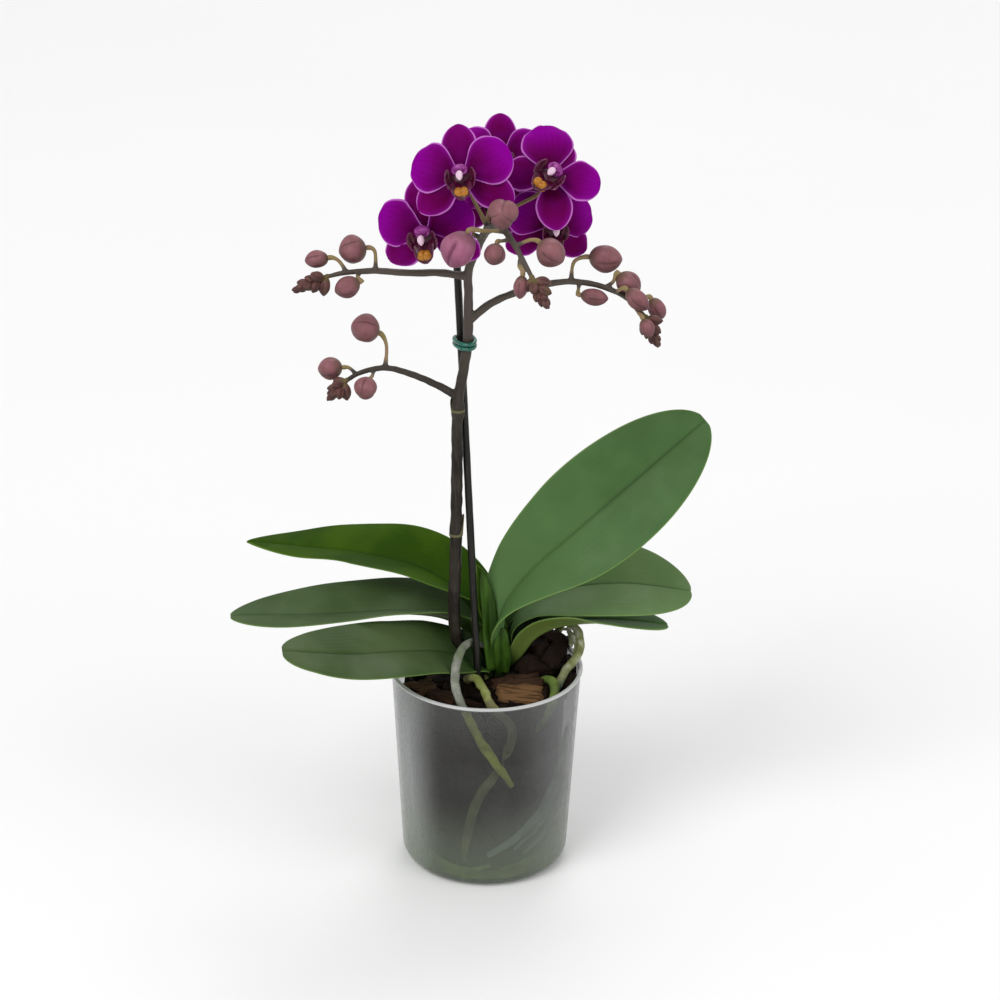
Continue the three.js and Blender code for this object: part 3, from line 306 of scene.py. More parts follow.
def egg_rings(length, radius, sides, rings, widest, seam, seam_width, bulge=0.035, point=0.0):
    """Rings of a bud along +Z, with three sepals that meet at seams, and how deep in a seam each point is."""
    s = (1 - np.cos(np.linspace(0, np.pi, rings))) / 2
    share = np.where(s < widest, s / widest, (1 - s) / (1 - widest))
    reach = radius * (1 - (1 - np.clip(share, 0.0005, 1)) ** 2) ** (0.52 + point * (s > widest))
    turn = np.linspace(0, 2 * np.pi, sides, endpoint=False)
    from_seam = np.abs((turn * 3 / (2 * np.pi) + 0.5) % 1 - 0.5) * 2 * np.pi / 3
    depth = np.exp(-((from_seam / seam_width) ** 2))
    fade = smooth_step(0.12, 0.45, s)[:, None]
    swell = bulge * np.cos(3 * (turn + np.pi / 3))[None, :]
    reach = reach[:, None] * (1 + swell * fade - seam * depth[None, :] * fade)
    level = np.repeat(s[:, None] * length, sides, 1)
    rings = np.stack([reach * np.cos(turn), reach * np.sin(turn), level], -1)
    return rings, s, depth[None, :] * fade


# ---------------- material nodes
class Look:
    """A material whose patterns come from nodes. Its colour is painted in layers."""

    def __init__(self, name, colour=None, **sockets):
        self.material = bpy.data.materials.new(name)
        self.material.use_nodes = True
        self.tree = self.material.node_tree
        self.shader = self.tree.nodes["Principled BSDF"]
        self.where = self.node("ShaderNodeTexCoord").outputs["Object"]
        self.colour = colour
        for key, value in sockets.items():
            self.set(key.replace("_", " "), value)

    def set(self, socket, value):
        self.put(self.shader.inputs[socket], value)

    def put(self, socket, value):
        if isinstance(value, bpy.types.NodeSocket):
            self.tree.links.new(value, socket)
        elif isinstance(value, tuple) and len(value) == 3 and socket.type == "RGBA":
            socket.default_value = (*value, 1)
        else:
            socket.default_value = value

    def node(self, kind, inputs=(), **properties):
        made = self.tree.nodes.new(kind)
        for key, value in properties.items():
            setattr(made, key, value)
        for key, value in dict(inputs).items():
            self.put(made.inputs[key], value)
        return made

    def value(self, name):
        return self.node("ShaderNodeAttribute", attribute_name=name).outputs["Fac"]

    def maths(self, operation, a, b=0.0, clamp=False):
        return self.node("ShaderNodeMath", {0: a, 1: b}, operation=operation, use_clamp=clamp).outputs[0]

    def times(self, a, b):
        return self.maths("MULTIPLY", a, b)

    def plus(self, a, b, clamp=False):
        return self.maths("ADD", a, b, clamp)

    def noise(self, size, detail=3, stretch=None, where=None):
        """Noise whose spots are about size millimetres across."""
        vector = where or self.where
        if stretch:
            vector = self.node("ShaderNodeMapping", {"Vector": vector, "Scale": stretch}).outputs[0]
        inputs = {"Vector": vector, "Scale": 1 / (size * MM), "Detail": detail}
        return self.node("ShaderNodeTexNoise", inputs).outputs[0]

    def ramp(self, fac, *stops):
        made = self.node("ShaderNodeValToRGB", {"Fac": fac})
        elements = made.color_ramp.elements
        while len(elements) < len(stops):
            elements.new(0.5)
        for element, (place, colour) in zip(elements, stops):
            element.position, element.color = place, (*colour, 1)
        return made.outputs["Color"]

    def between(self, fac, low, high, start=0.0, end=1.0):
        """Goes from start to end as fac goes from low to high."""
        inputs = {"Value": fac, "From Min": low, "From Max": high, "To Min": start, "To Max": end}
        return self.node("ShaderNodeMapRange", inputs, interpolation_type="SMOOTHSTEP").outputs[0]

    def mix(self, fac, a, b):
        made = self.node("ShaderNodeMix", data_type="RGBA", blend_type="MIX")
        for socket, value in ((made.inputs[0], fac), (made.inputs[6], a), (made.inputs[7], b)):
            self.put(socket, value)
        return made.outputs[2]

    def paint(self, colour, fac, *span):
        """Lays a colour over the layers below, by fac or by what it gives between the numbers of a span."""
        self.colour = self.mix(self.between(fac, *span) if span else fac, self.colour, colour)

    def bump(self, height, millimetres):
        normal = self.shader.inputs["Normal"]
        inputs = {"Height": height, "Distance": millimetres * MM, "Strength": 1.0}
        if normal.links:
            inputs["Normal"] = normal.links[0].from_socket
        self.put(normal, self.node("ShaderNodeBump", inputs).outputs[0])

    def finish(self, grain, smooth, rough, *bumps, low=0.3):
        """The material as painted, smooth to rough as its grain goes up, with bumps in millimetres."""
        self.set("Base Color", self.colour)
        self.set("Roughness", self.between(grain, low, 0.7, smooth, rough))
        for height, millimetres in bumps:
            self.bump(height, millimetres)
        return self.material


def dimmed(colour, share):
    return tuple(part * share for part in colour)


# ---------------- materials
def leaf_look(name, dark, light, under, edge, gloss=0.18, shade=0.14, root=(0.014, 0.055, 0.004)):
    """A leaf's skin. Over the first share of its length, at the crown, it fades to a colour of painted
    shading: darker on most leaves, lighter on the upright one.
    """
    look = Look(name, dark, Coat_Weight=0.04, Coat_Roughness=0.5, Specular_IOR_Level=gloss)
    look.paint(light, look.noise(30), 0.35, 0.68)
    side = look.value("side")
    spread = look.plus(look.times(side, 52), look.times(look.noise(18, 2), 5))
    lines = look.times(look.maths("SINE", spread), look.noise(8))
    look.paint(light, lines, -0.1, 0.7, 0, 0.13)
    # Painted shade: a dark line along the midrib, where its groove lies in shadow.
    midrib_shade = look.between(look.maths("ABSOLUTE", side), 0.008, 0.04, 1, 0)
    look.paint(dimmed(dark, 0.4), look.times(midrib_shade, 0.5))
    look.paint(under, look.times(look.value("under"), 0.85))
    # Painted shade at the crown: the leaf turns to the root colour towards its base, where the other leaves
    # shade it; on the upright leaf this painted shading is lighter.
    look.paint(root, look.value("along"), 0, shade, 0.75, 0)
    look.paint(edge, look.value("edge"), 0.2, 0.7, 0.5, 0)
    specks = look.between(look.noise(1.3, 2), 0.66, 0.74)
    look.paint(light, look.times(specks, 0.12))
    return look.finish(look.noise(14, 4), 0.45, 0.6, (look.noise(0.9), 0.02), (lines, 0.025))


def crown_look():
    look = Look("crown", (0.018, 0.05, 0.003), Coat_Weight=0.04, Coat_Roughness=0.4, Specular_IOR_Level=0.15)
    strands = look.noise(2.4, stretch=(1, 1, 0.08))
    look.paint((0.046, 0.11, 0.009), strands, 0.35, 0.65)
    look.paint((0.04, 0.065, 0.018), look.value("level"), 0.35, 0.6, 1, 0)
    # Painted shade: the folds between the ridges are darkened, and the old leaf bases each by their own
    # share.
    look.paint((0.004, 0.014, 0.001), look.value("crease"), 0.1, 0.6, 0, 0.95)
    return look.finish(look.noise(5), 0.4, 0.6, (strands, 0.12))


def petal_look():
    """Darker towards the middle of the bloom and redder in the sepals, with a thin pale edge."""
    look = Look("petal", Specular_IOR_Level=0.02)
    along, edge, throat = look.value("along"), look.value("edge"), (0, (0.05, 0, 0.012))
    petals = look.ramp(
        along, throat, (0.22, (0.075, 0, 0.03)), (0.5, (0.145, 0, 0.115)), (0.85, (0.235, 0.0005, 0.26)))
    sepals = look.ramp(
        along, throat, (0.3, (0.08, 0, 0.035)), (0.65, (0.12, 0, 0.066)), (0.95, (0.165, 0.001, 0.12)))
    look.colour = look.mix(look.value("sepal"), petals, sepals)
    spread = look.plus(look.times(look.value("side"), 27), look.noise(5, 2))
    veins = look.times(look.between(look.maths("SINE", spread), 0.3, 1), look.noise(3, 2))
    look.paint((0.08, 0, 0.05), look.times(veins, 0.35))
    look.paint((0.2, 0.001, 0.24), look.noise(9), 0.35, 0.75, 0, 0.25)
    look.paint((0.26, 0.006, 0.3), edge, 0.4, 3.6, 0.35, 0)
    look.paint((0.58, 0.18, 0.6), edge, 0.35, 1, 0.88, 0)
    look.paint(look.mix(0.35, look.colour, (0.2, 0.06, 0.19)), look.value("under"))
    return look.finish(look.noise(4), 0.5, 0.66, (veins, 0.06), (look.noise(0.5, 2), 0.02))


def lip_look():
    look = Look("lip", (0.03, 0, 0.008), Coat_Weight=0.2, Coat_Roughness=0.3, Specular_IOR_Level=0.3)
    look.paint((0.08, 0.001, 0.026), look.noise(1.6), 0.35, 0.65)
    look.paint((0.3, 0.04, 0.2), look.value("edge"), 0.1, 0.6, 0.25, 0)
    spots = look.between(look.noise(0.55, 2), 0.56, 0.64)
    look.paint(look.mix(spots, (0.42, 0.165, 0.006), (0.16, 0.026, 0.005)), look.value("callus"))
    return look.finish(look.noise(2), 0.3, 0.45, (look.noise(0.7), 0.08))


def column_look():
    look = Look("column", (0.21, 0.012, 0.18), Coat_Weight=0.15, Coat_Roughness=0.3, Specular_IOR_Level=0.3)
    look.paint((0.36, 0.07, 0.32), look.noise(1.8), 0.35, 0.7)
    look.paint((0.74, 0.52, 0.66), look.value("cap"))
    return look.finish(look.noise(1.5, 2), 0.32, 0.46, (look.noise(0.6, 2), 0.04))


def bud_look(name, skin, flush_and_top_light, base):
    """A bud's skin, flushed in patches, painted lighter on its upper side where the light falls, with painted
    shade in its seams.
    """
    look = Look(name, skin, Sheen_Weight=0.05, Sheen_Roughness=0.5, Specular_IOR_Level=0.25)
    patches = look.times(look.between(look.noise(4.5, 4), 0.3, 0.7), 0.45)
    # Painted light: the flush colour laid in random patches and over the upper part of each bud, as if lit
    # from above.
    look.paint(flush_and_top_light, look.plus(patches, look.times(look.value("upper"), 0.75), clamp=True))
    streaks = look.noise(2.2, stretch=(1, 1, 0.35))
    look.paint(base, streaks, 0.5, 0.75, 0, 0.3)
    look.paint(base, look.value("along"), 0, 0.35, 0.8, 0)
    # Painted shade: the skin darkened along the seams between the sepals.
    look.paint(dimmed(skin, 0.4), look.value("seam"), 0.25, 0.95, 0, 0.45)
    return look.finish(look.noise(3), 0.4, 0.58, (streaks, 0.12), (look.noise(0.6, 2), 0.03))


def stem_look():
    """Brown wood, the paler stalks of the flowers, and the bracts."""
    look = Look("stem", (0.009, 0.0065, 0.004), Specular_IOR_Level=0.25)
    look.paint((0.022, 0.017, 0.012), look.noise(9, 4), 0.35, 0.65)
    fibres = look.noise(1.1, 4, stretch=(1, 1, 0.12))
    look.paint((0.046, 0.035, 0.025), fibres, 0.5, 0.7, 0, 0.55)
    fresh = look.mix(look.between(look.noise(2.5), 0.35, 0.7), (0.25, 0.2, 0.075), (0.29, 0.18, 0.11))
    look.paint((0.085, 0.068, 0.055), look.value("stalk"), 0, 0.3)
    look.paint(fresh, look.value("stalk"), 0.3, 1)
    look.paint((0.12, 0.11, 0.05), look.value("bract"))
    return look.finish(look.noise(4), 0.45, 0.65, (fibres, 0.12), (look.noise(0.5, 2), 0.03))


def root_look(name, low, high, patch, wet):
    """A root's skin, dry above the bark and wet inside the pot."""
    look = Look(name, low, Specular_IOR_Level=0.25)
    look.paint(high, look.noise(5, 4), 0.35, 0.65)
    look.paint(patch, look.noise(11), 0.5, 0.68)
    papery = look.between(look.noise(4.5, 2), 0.3, 0.7)
    look.paint((0.46, 0.47, 0.36), look.times(look.value("knob"), papery))
    streaks = look.mix(look.between(look.noise(9), 0.35, 0.65), wet, dimmed(wet, 0.5))
    look.paint(streaks, look.value("inside"))
    grain = look.noise(0.8, 4)
    look.paint(dimmed(low, 0.5), grain, 0.52, 0.7, 0, 0.35)
    return look.finish(grain, 0.6, 0.85, (grain, 0.1), (look.noise(2.4), 0.12))


def bark_look():
    """Each chip carries its own coordinates, so that its fibres run along it."""
    look = Look("bark", Specular_IOR_Level=0.1)
    own = {axis: look.value("grain_" + axis.lower()) for axis in "XYZ"}
    where = look.node("ShaderNodeCombineXYZ", own).outputs[0]
    look.colour = look.ramp(
        look.value("tone"), (0, (0.004, 0.003, 0.002)), (0.5, (0.014, 0.008, 0.006)),
        (0.75, (0.03, 0.014, 0.009)), (0.9, (0.075, 0.04, 0.02)), (1, (0.16, 0.085, 0.036)))
    layers = look.noise(1, 4, stretch=(0.07, 0.9, 1.1), where=where)
    look.paint((0.012, 0.006, 0.003), layers, 0.46, 0.66, 0, 0.7)
    pale = look.noise(1, 4, stretch=(0.2, 1, 1), where=where)
    look.paint((0.12, 0.07, 0.04), pale, 0.6, 0.75, 0, 0.22)
    return look.finish(layers, 0.7, 0.95, (layers, 0.7), (look.noise(0.7, 4), 0.2))


def pot_look():
    """Clear smoky plastic with a misted film inside, whose thickness each point carries; the film is partly
    painted reflection, lighter at the pot's left and right sides.
    """
    look = Look(
        "pot", (0.07, 0.07, 0.065), IOR=1.45, Coat_Weight=0.3, Coat_Roughness=0.15, Specular_IOR_Level=0.35)
    mist, rim, clouds = look.value("mist"), look.value("rim"), look.noise(60, 2)
    look.paint((0.11, 0.112, 0.106), clouds, 0.35, 0.65)
    # Painted reflection: the film paler where it lies thick, most of all at the pot's left side.
    look.paint((0.27, 0.28, 0.275), mist)
    look.paint((0.17, 0.205, 0.14), look.times(look.value("low"), 0.75))
    # Painted highlight: the bead at the top painted pale and made nearly opaque, for the bright line along
    # it.
    look.paint((0.52, 0.53, 0.52), rim)
    slope = look.node("ShaderNodeLayerWeight", {"Blend": 0.3}).outputs["Facing"]
    veil = look.plus(look.between(slope, 0.4, 1, 0.3, 0.5), look.times(mist, 0.45))
    veil = look.plus(veil, look.between(clouds, 0.3, 0.7, -0.03, 0.04))
    look.set("Alpha", look.plus(veil, look.times(rim, 0.6), clamp=True))
    scuffs = look.noise(1.2, 4, stretch=(1, 1, 0.3))
    return look.finish(scuffs, 0.25, 0.42, (look.noise(40, 2), 0.15), low=0.35)


def stake_look():
    look = Look("stake", (0.004, 0.004, 0.003), Coat_Weight=0.1, Coat_Roughness=0.25, Specular_IOR_Level=0.25)
    streaks = look.noise(1.4, stretch=(1, 1, 0.06))
    look.paint((0.014, 0.012, 0.009), streaks, 0.35, 0.7)
    return look.finish(look.noise(3), 0.34, 0.5, (streaks, 0.05))


def tie_look():
    look = Look("tie", (0.003, 0.085, 0.058), Coat_Weight=0.4, Coat_Roughness=0.2)
    spots = look.noise(1.6)
    look.paint((0.008, 0.17, 0.115), spots, 0.35, 0.7)
    return look.finish(spots, 0.28, 0.42, (look.noise(0.8, 2), 0.05))


LEAF_EDGE, OLD_EDGE, DEEP_EDGE = (0.2, 0.32, 0.07), (0.15, 0.26, 0.05), (0.13, 0.25, 0.03)
LEAF_UNDER, OLD_UNDER, DEEP_UNDER = (0.03, 0.07, 0.01), (0.08, 0.13, 0.025), (0.05, 0.11, 0.01)
# The looks by their makers: name and colours, and for leaves also the gloss and the fade at the root, which
# is painted shading, darker at the crown and lighter on the upright leaf.
MADE_LOOKS = {
    leaf_look: [
        ("leaf", (0.058, 0.135, 0.034), (0.078, 0.17, 0.05), (0.09, 0.125, 0.02), LEAF_EDGE),
        ("leaf_upright", (0.05, 0.115, 0.03), (0.068, 0.148, 0.044), LEAF_UNDER, LEAF_EDGE, 0.16, 0.75,
         (0.085, 0.17, 0.052)),
        ("leaf_pale", (0.1, 0.18, 0.058), (0.135, 0.22, 0.086), LEAF_UNDER, LEAF_EDGE, 0.16, 0.22),
        ("leaf_blue", (0.038, 0.07, 0.018), (0.064, 0.102, 0.036), OLD_UNDER, OLD_EDGE, 0.12, 0.3),
        ("leaf_grey", (0.05, 0.09, 0.028), (0.082, 0.13, 0.054), OLD_UNDER, OLD_EDGE, 0.15, 0.3),
        ("leaf_deep", (0.02, 0.055, 0.001), (0.038, 0.086, 0.002), DEEP_UNDER, DEEP_EDGE, 0.04, 0.36),
        ("leaf_young", (0.034, 0.088, 0.004), (0.062, 0.13, 0.008), DEEP_UNDER, DEEP_EDGE, 0.06, 0.3),
    ],
    bud_look: [
        ("bud", (0.105, 0.037, 0.04), (0.25, 0.098, 0.112), (0.1, 0.066, 0.034)),
        ("bud_opening", (0.165, 0.034, 0.08), (0.35, 0.115, 0.2), (0.18, 0.075, 0.095)),
        ("bud_young", (0.036, 0.013, 0.011), (0.125, 0.05, 0.045), (0.15, 0.12, 0.035)),
    ],
    root_look: [
        ("root_silver", (0.16, 0.17, 0.13), (0.3, 0.31, 0.27), (0.13, 0.15, 0.09), (0.34, 0.4, 0.06)),
        ("root_olive", (0.17, 0.2, 0.045), (0.27, 0.29, 0.1), (0.14, 0.13, 0.06), (0.15, 0.17, 0.07)),
        ("root_pale", (0.14, 0.15, 0.05), (0.22, 0.24, 0.1), (0.44, 0.46, 0.36), (0.24, 0.35, 0.27)),
        ("root_green", (0.08, 0.13, 0.02), (0.14, 0.2, 0.04), (0.1, 0.12, 0.04), (0.22, 0.33, 0.06)),
    ],
}
LOOKS = {row[0]: make(*row) for make, rows in MADE_LOOKS.items() for row in rows}
LOOKS.update(
    crown=crown_look(), petal=petal_look(), lip=lip_look(), column=column_look(), stem=stem_look(),
    bark=bark_look(), pot=pot_look(), stake=stake_look(), tie=tie_look())


# ---------------- pot
def lathe(profile, sides):
    """Closed rings round Z through a profile of (radius, level)."""
    turn = np.linspace(0, 2 * np.pi, sides, endpoint=False)
    radius, level = np.array(profile, float).T[..., None]
    return np.stack([radius * np.cos(turn), radius * np.sin(turn), level + 0 * turn], axis=-1)


def outer_radius(z):
    return FOOT_RADIUS + (WALL_TOP_RADIUS - FOOT_RADIUS) * (z - FOOT_ROUND) / (POT_HEIGHT - FOOT_ROUND)


def inner_radius(z):
    return outer_radius(z) - POT_WALL


def foot_round(radius):
    """The quarter circle that rounds the foot of the pot."""
    centre = FOOT_RADIUS - FOOT_ROUND
    turns = np.linspace(0, np.pi / 2, 11)
    return [(centre + radius * math.sin(turn), FOOT_ROUND - radius * math.cos(turn)) for turn in turns]


def make_pot():
    halfway = (FOOT_RADIUS - FOOT_ROUND) * 0.5
    levels = np.linspace(FOOT_ROUND, POT_HEIGHT - 3.4, 12)[1:]
    outside = [(0.05, 0), (halfway, 0), *foot_round(FOOT_ROUND), *((outer_radius(z), z) for z in levels)]
    bead = [(WALL_TOP_RADIUS, 96.6), (RIM_RADIUS - 0.15, 96.9), (RIM_RADIUS, 97.2), (RIM_RADIUS - 0.1, 97.7),
            (RIM_RADIUS - 0.5, POT_HEIGHT), (RIM_RADIUS - 1.4, POT_HEIGHT), (RIM_RADIUS - 2, 97.6)]
    inside = [(inner_radius(z), z) for z in levels[::-1]]
    floor = [*foot_round(FOOT_ROUND - POT_WALL)[::-1], (halfway, POT_WALL), (0.05, POT_WALL)]
    rings = lathe(outside + bead + inside + floor, 128)
    turn = np.degrees(np.arctan2(rings[..., 1], rings[..., 0])) % 360
    z = rings[..., 2]
    # the misted film is thickest at the left, thinner at the right, at the foot and just below the top; the
    # bands at the left and right sides are painted reflection, the left one lightest where the key light
    # falls
    left = smooth_step(243, 212, turn) * smooth_step(160, 200, turn)
    right = smooth_step(286, 328, turn) + smooth_step(40, 10, turn)
    foot = smooth_step(52, 6, z)
    mist = left + 0.46 * right + 0.26 * foot + 0.16 * smooth_step(70, 95, z)
    form = Form()
    form.loft(rings, rim=z > 96.8, mist=mist, low=foot)
    pot = placed("scratch", form.mesh("pot"))
    drill = Form()
    for i in range(DRAIN_HOLES):
        turn = 2 * math.pi * (i + 0.5) / DRAIN_HOLES
        hole = lathe([(DRAIN_RADIUS, -3), (DRAIN_RADIUS, 3)], 24)
        drill.loft(hole + [DRAIN_RING_RADIUS * math.cos(turn), DRAIN_RING_RADIUS * math.sin(turn), 0])
    cutter = placed("scratch", drill.mesh("drill"))
    cut = pot.modifiers.new("drain", "BOOLEAN")
    cut.operation, cut.object, cut.solver = "DIFFERENCE", cutter, "EXACT"
    mesh = evaluated(pot)
    bpy.data.objects.remove(cutter)
    mesh.name = "pot"
    made = piece("pot", mesh, LOOKS["pot"], ["pot"])
    edge = made.modifiers.new("edge", "EDGE_SPLIT")
    edge.split_angle = math.radians(50)


# ---------------- roots
def root_reach(z, inset):
    """How far from the pot's middle a point may lie, to be that far inside its wall."""
    if z >= FOOT_ROUND:
        return inner_radius(min(z, POT_HEIGHT)) - inset
    room = FOOT_ROUND - POT_WALL - inset
    drop = min(FOOT_ROUND - z, room)
    return FOOT_RADIUS - FOOT_ROUND + math.sqrt(room * room - drop * drop)


def wall(degrees, z, inset=ROOT_INSET):
    """A point just inside the pot's wall."""
    turn = math.radians(degrees)
    radius = root_reach(z, inset)
    return (radius * math.cos(turn), radius * math.sin(turn), z)


# Each root's name, look, radii and course.
ROOTS = [
    ("root_front_silver", "root_silver", [1.4, 1.6, 1.9, 2, 1.9, 1.9, 2, 2.2, 1.9, 1.3], [
        (-0.5, -3.5, 109.5), (-7.3, -9.2, 114.2), (-12.2, -20.7, 114.2), (-14, -26, 107.8), (-13.6, -33, 102),
        (-10.4, -39, 96), wall(264, 82), wall(276, 68), wall(290, 53),
    ]),
    ("root_front_green", "root_olive", [1.6, 1.8, 1.9, 2, 2, 2.1, 2.3, 2.3, 2.2, 2, 1.4], [
        (1, -3.4, 93), (-7.6, -9, 94), (-8.6, -15, 98.2), (-4.8, -20, 101), (-1, -28, 99.5), (2.6, -37, 96),
        wall(288, 84), wall(283, 64, 8), wall(266, 48), wall(258, 30),
        wall(254, 12),
    ]),
    ("root_right_loop", "root_pale", [1.5, 1.7, 1.9, 2, 1.9, 1.8, 1.8, 2, 2, 1.8, 1.3], [
        (30, 24, 95), (34, 20, 107), (37, 13, 114.6), (42.6, 7, 112), (43.2, 0, 105.4), (36.6, -7, 98.4),
        (31.5, -11, 88), wall(348, 66, 7), wall(340, 52), wall(318, 36),
        wall(294, 24), wall(272, 16),
    ]),
    ("root_right_green", "root_green", [1.5, 1.9, 2.2, 2.1, 1.8, 1.3], [
        (22, -8, 91), (28.4, -13, 97.4), (31.4, -18.5, 97.4), (31, -24, 92), (27, -26, 84), (21, -27, 76),
    ]),
    ("root_foot_ring", "root_green", [1.6, 2, 2.1, 2.2, 2.2, 2.3, 2.2, 2, 1.4], [
        (0, 12, 88), (-10, 12, 62), (-21, 0, 32), wall(205, 11, 4.5), wall(232, 4.6),
        wall(262, 4.4), wall(296, 4.6), wall(322, 7.5), wall(340, 13),
    ]),
    ("root_back", "root_green", [1.6, 2.1, 2.2, 2.2, 2, 1.3], [
        (9, 11, 90), wall(62, 78), wall(84, 52), wall(58, 30), wall(30, 14),
        wall(2, 8),
    ]),
]

# Thin strands beside two roots, which show pale through the wall: radii, then (turn, level) on the wall.
STRANDS = {
    "root_right_loop": [
        ([1.1, 1.4, 1.4, 0.7], [(345, 62), (334, 46), (316, 30), (292, 18)]),
        ([1.0, 1.3, 1.2, 0.7], [(350, 44), (336, 34), (318, 22), (300, 15)]),
        ([0.9, 1.2, 1.1, 0.6], [(344, 72), (338, 60), (326, 46), (308, 33)]),
    ],
    "root_foot_ring": [
        ([1.0, 1.5, 1.4, 0.8], [(222, 13), (240, 9), (258, 8), (275, 11)]),
        ([1.0, 1.6, 1.5, 0.8], [(282, 8), (300, 9.5), (320, 12), (338, 19)]),
    ],
}

# Where the skin of the right-hand root has swollen into pale papery ridges: radii and course.
RIDGES = [
    ([0.7, 1.5, 1.2, 1.6, 0.8],
     [(34.6, 14.5, 112.6), (38.6, 11, 114.8), (42, 6.8, 112.8), (43.8, 2.5, 108.6), (42.6, -2, 103.4)]),
    ([0.7, 1.6, 1.1, 1.4, 0.8],
     [(37.5, 11, 110.5), (40.4, 7.5, 110), (41.6, 3.6, 107.4), (41.2, -1, 103.4), (38, -5.8, 99)]),
    ([0.6, 1.2, 1.3, 0.7], [(36, 15.5, 109), (38.2, 12.6, 110.6), (39, 9, 108.6), (39.6, 5.4, 105)]),
]


def root_course(points, inset=ROOT_INSET):
    """A root's smooth course through its points, drawn in wherever it would swing out into the wall."""
    course = smooth_curve(np.array(points, float), np.linspace(0, 1, 61))
    for point in course:
        reach = root_reach(point[2], inset)
        radius = math.hypot(point[0], point[1])
        if radius > reach and point[2] < POT_HEIGHT + 4:
            point[:2] *= reach / radius
    return course


def make_roots():
    for number, (name, look, radii, points) in enumerate(ROOTS):
        form = Form()
        rings = tube_rings(root_course(points), np.array(radii) * ROOT_SWELL, 14, 0.8, 0.09, 5, 40 + number)
        form.loft(rings, inside=smooth_step(97.5, 91, rings[..., 2]))
        for extra, (thick, course) in enumerate(STRANDS.get(name, [])):
            course = root_course([wall(*place, 2.0) for place in course], 1.8)
            form.loft(tube_rings(course, thick, 10, 0.9, 0.08, 4, 60 + extra), inside=1)
        for extra, (thick, course) in enumerate(RIDGES if name == "root_right_loop" else []):
            form.loft(tube_rings(course, thick, 14, 0.6, 0.22, 3.4, 90 + extra), knob=1)
        form.piece(name, look, "root_silver" if look == "root_silver" else "root_green")


# ---------------- bark
def bark_level(x, y):
    share = np.clip((np.hypot(x, y) - 12) / 30, 0, 1)
    heap = BARK_CROWN_LEVEL + (BARK_RIM_LEVEL - BARK_CROWN_LEVEL) * share
    away = np.hypot(x - MOUND["x"], y - MOUND["y"]) / MOUND["radius"]
    return float(np.where(away < 1, np.maximum(heap, MOUND["top"] - 3 - 6 * away**2), heap))


def block():
    """Points and faces of a cube of side 2, cut into a grid."""
    shape = bmesh.new()
    bmesh.ops.create_cube(shape, size=2)
    bmesh.ops.subdivide_edges(shape, edges=shape.edges, cuts=4, use_grid_fill=True)
    points = np.array([v.co for v in shape.verts])
    faces = [[v.index for v in face.verts] for face in shape.faces]
    shape.free()
    return points, faces


# The chips that stand out on top: size, place, turn about X, Y and Z in degrees, and tone.
SHOWN_CHIPS = [
    ((22, 11, 5), (15, -21, 92.4), (26, 3, -4), 1.0),
    ((15, 11, 5), (-31, -15, 90.8), (14, -6, 24), 0.92),
    ((13, 8, 4), (-19, -22, 91.5), (10, 0, -35), 0.8),
    ((22, 8, 6), (14.5, -14, 94.4), (24, -6, 10), 0.8),
    ((19, 9, 8), (25, -3, 98.5), (24, 10, 30), 0.42),
    ((15, 8, 7), (31, 2, 103), (40, -20, 70), 0.35),
    ((17, 9, 8), (33, 9, 98), (10, -12, 100), 0.3),
    ((14, 8, 6), (22, 4, 105), (-14, 20, 140), 0.45),
    ((13, 7, 6), (30, 8, 108), (20, 30, 10), 0.5),
    ((12, 8, 7), (38, -3, 91.5), (0, 15, 80), 0.5),
    ((12, 8, 7), (38, 9, 92), (0, -10, 100), 0.4),
]


def spiral(i, radius):
    """The place of one of many points that lie evenly round the middle."""
    return radius * math.cos(i * GOLDEN_ANGLE), radius * math.sin(i * GOLDEN_ANGLE)


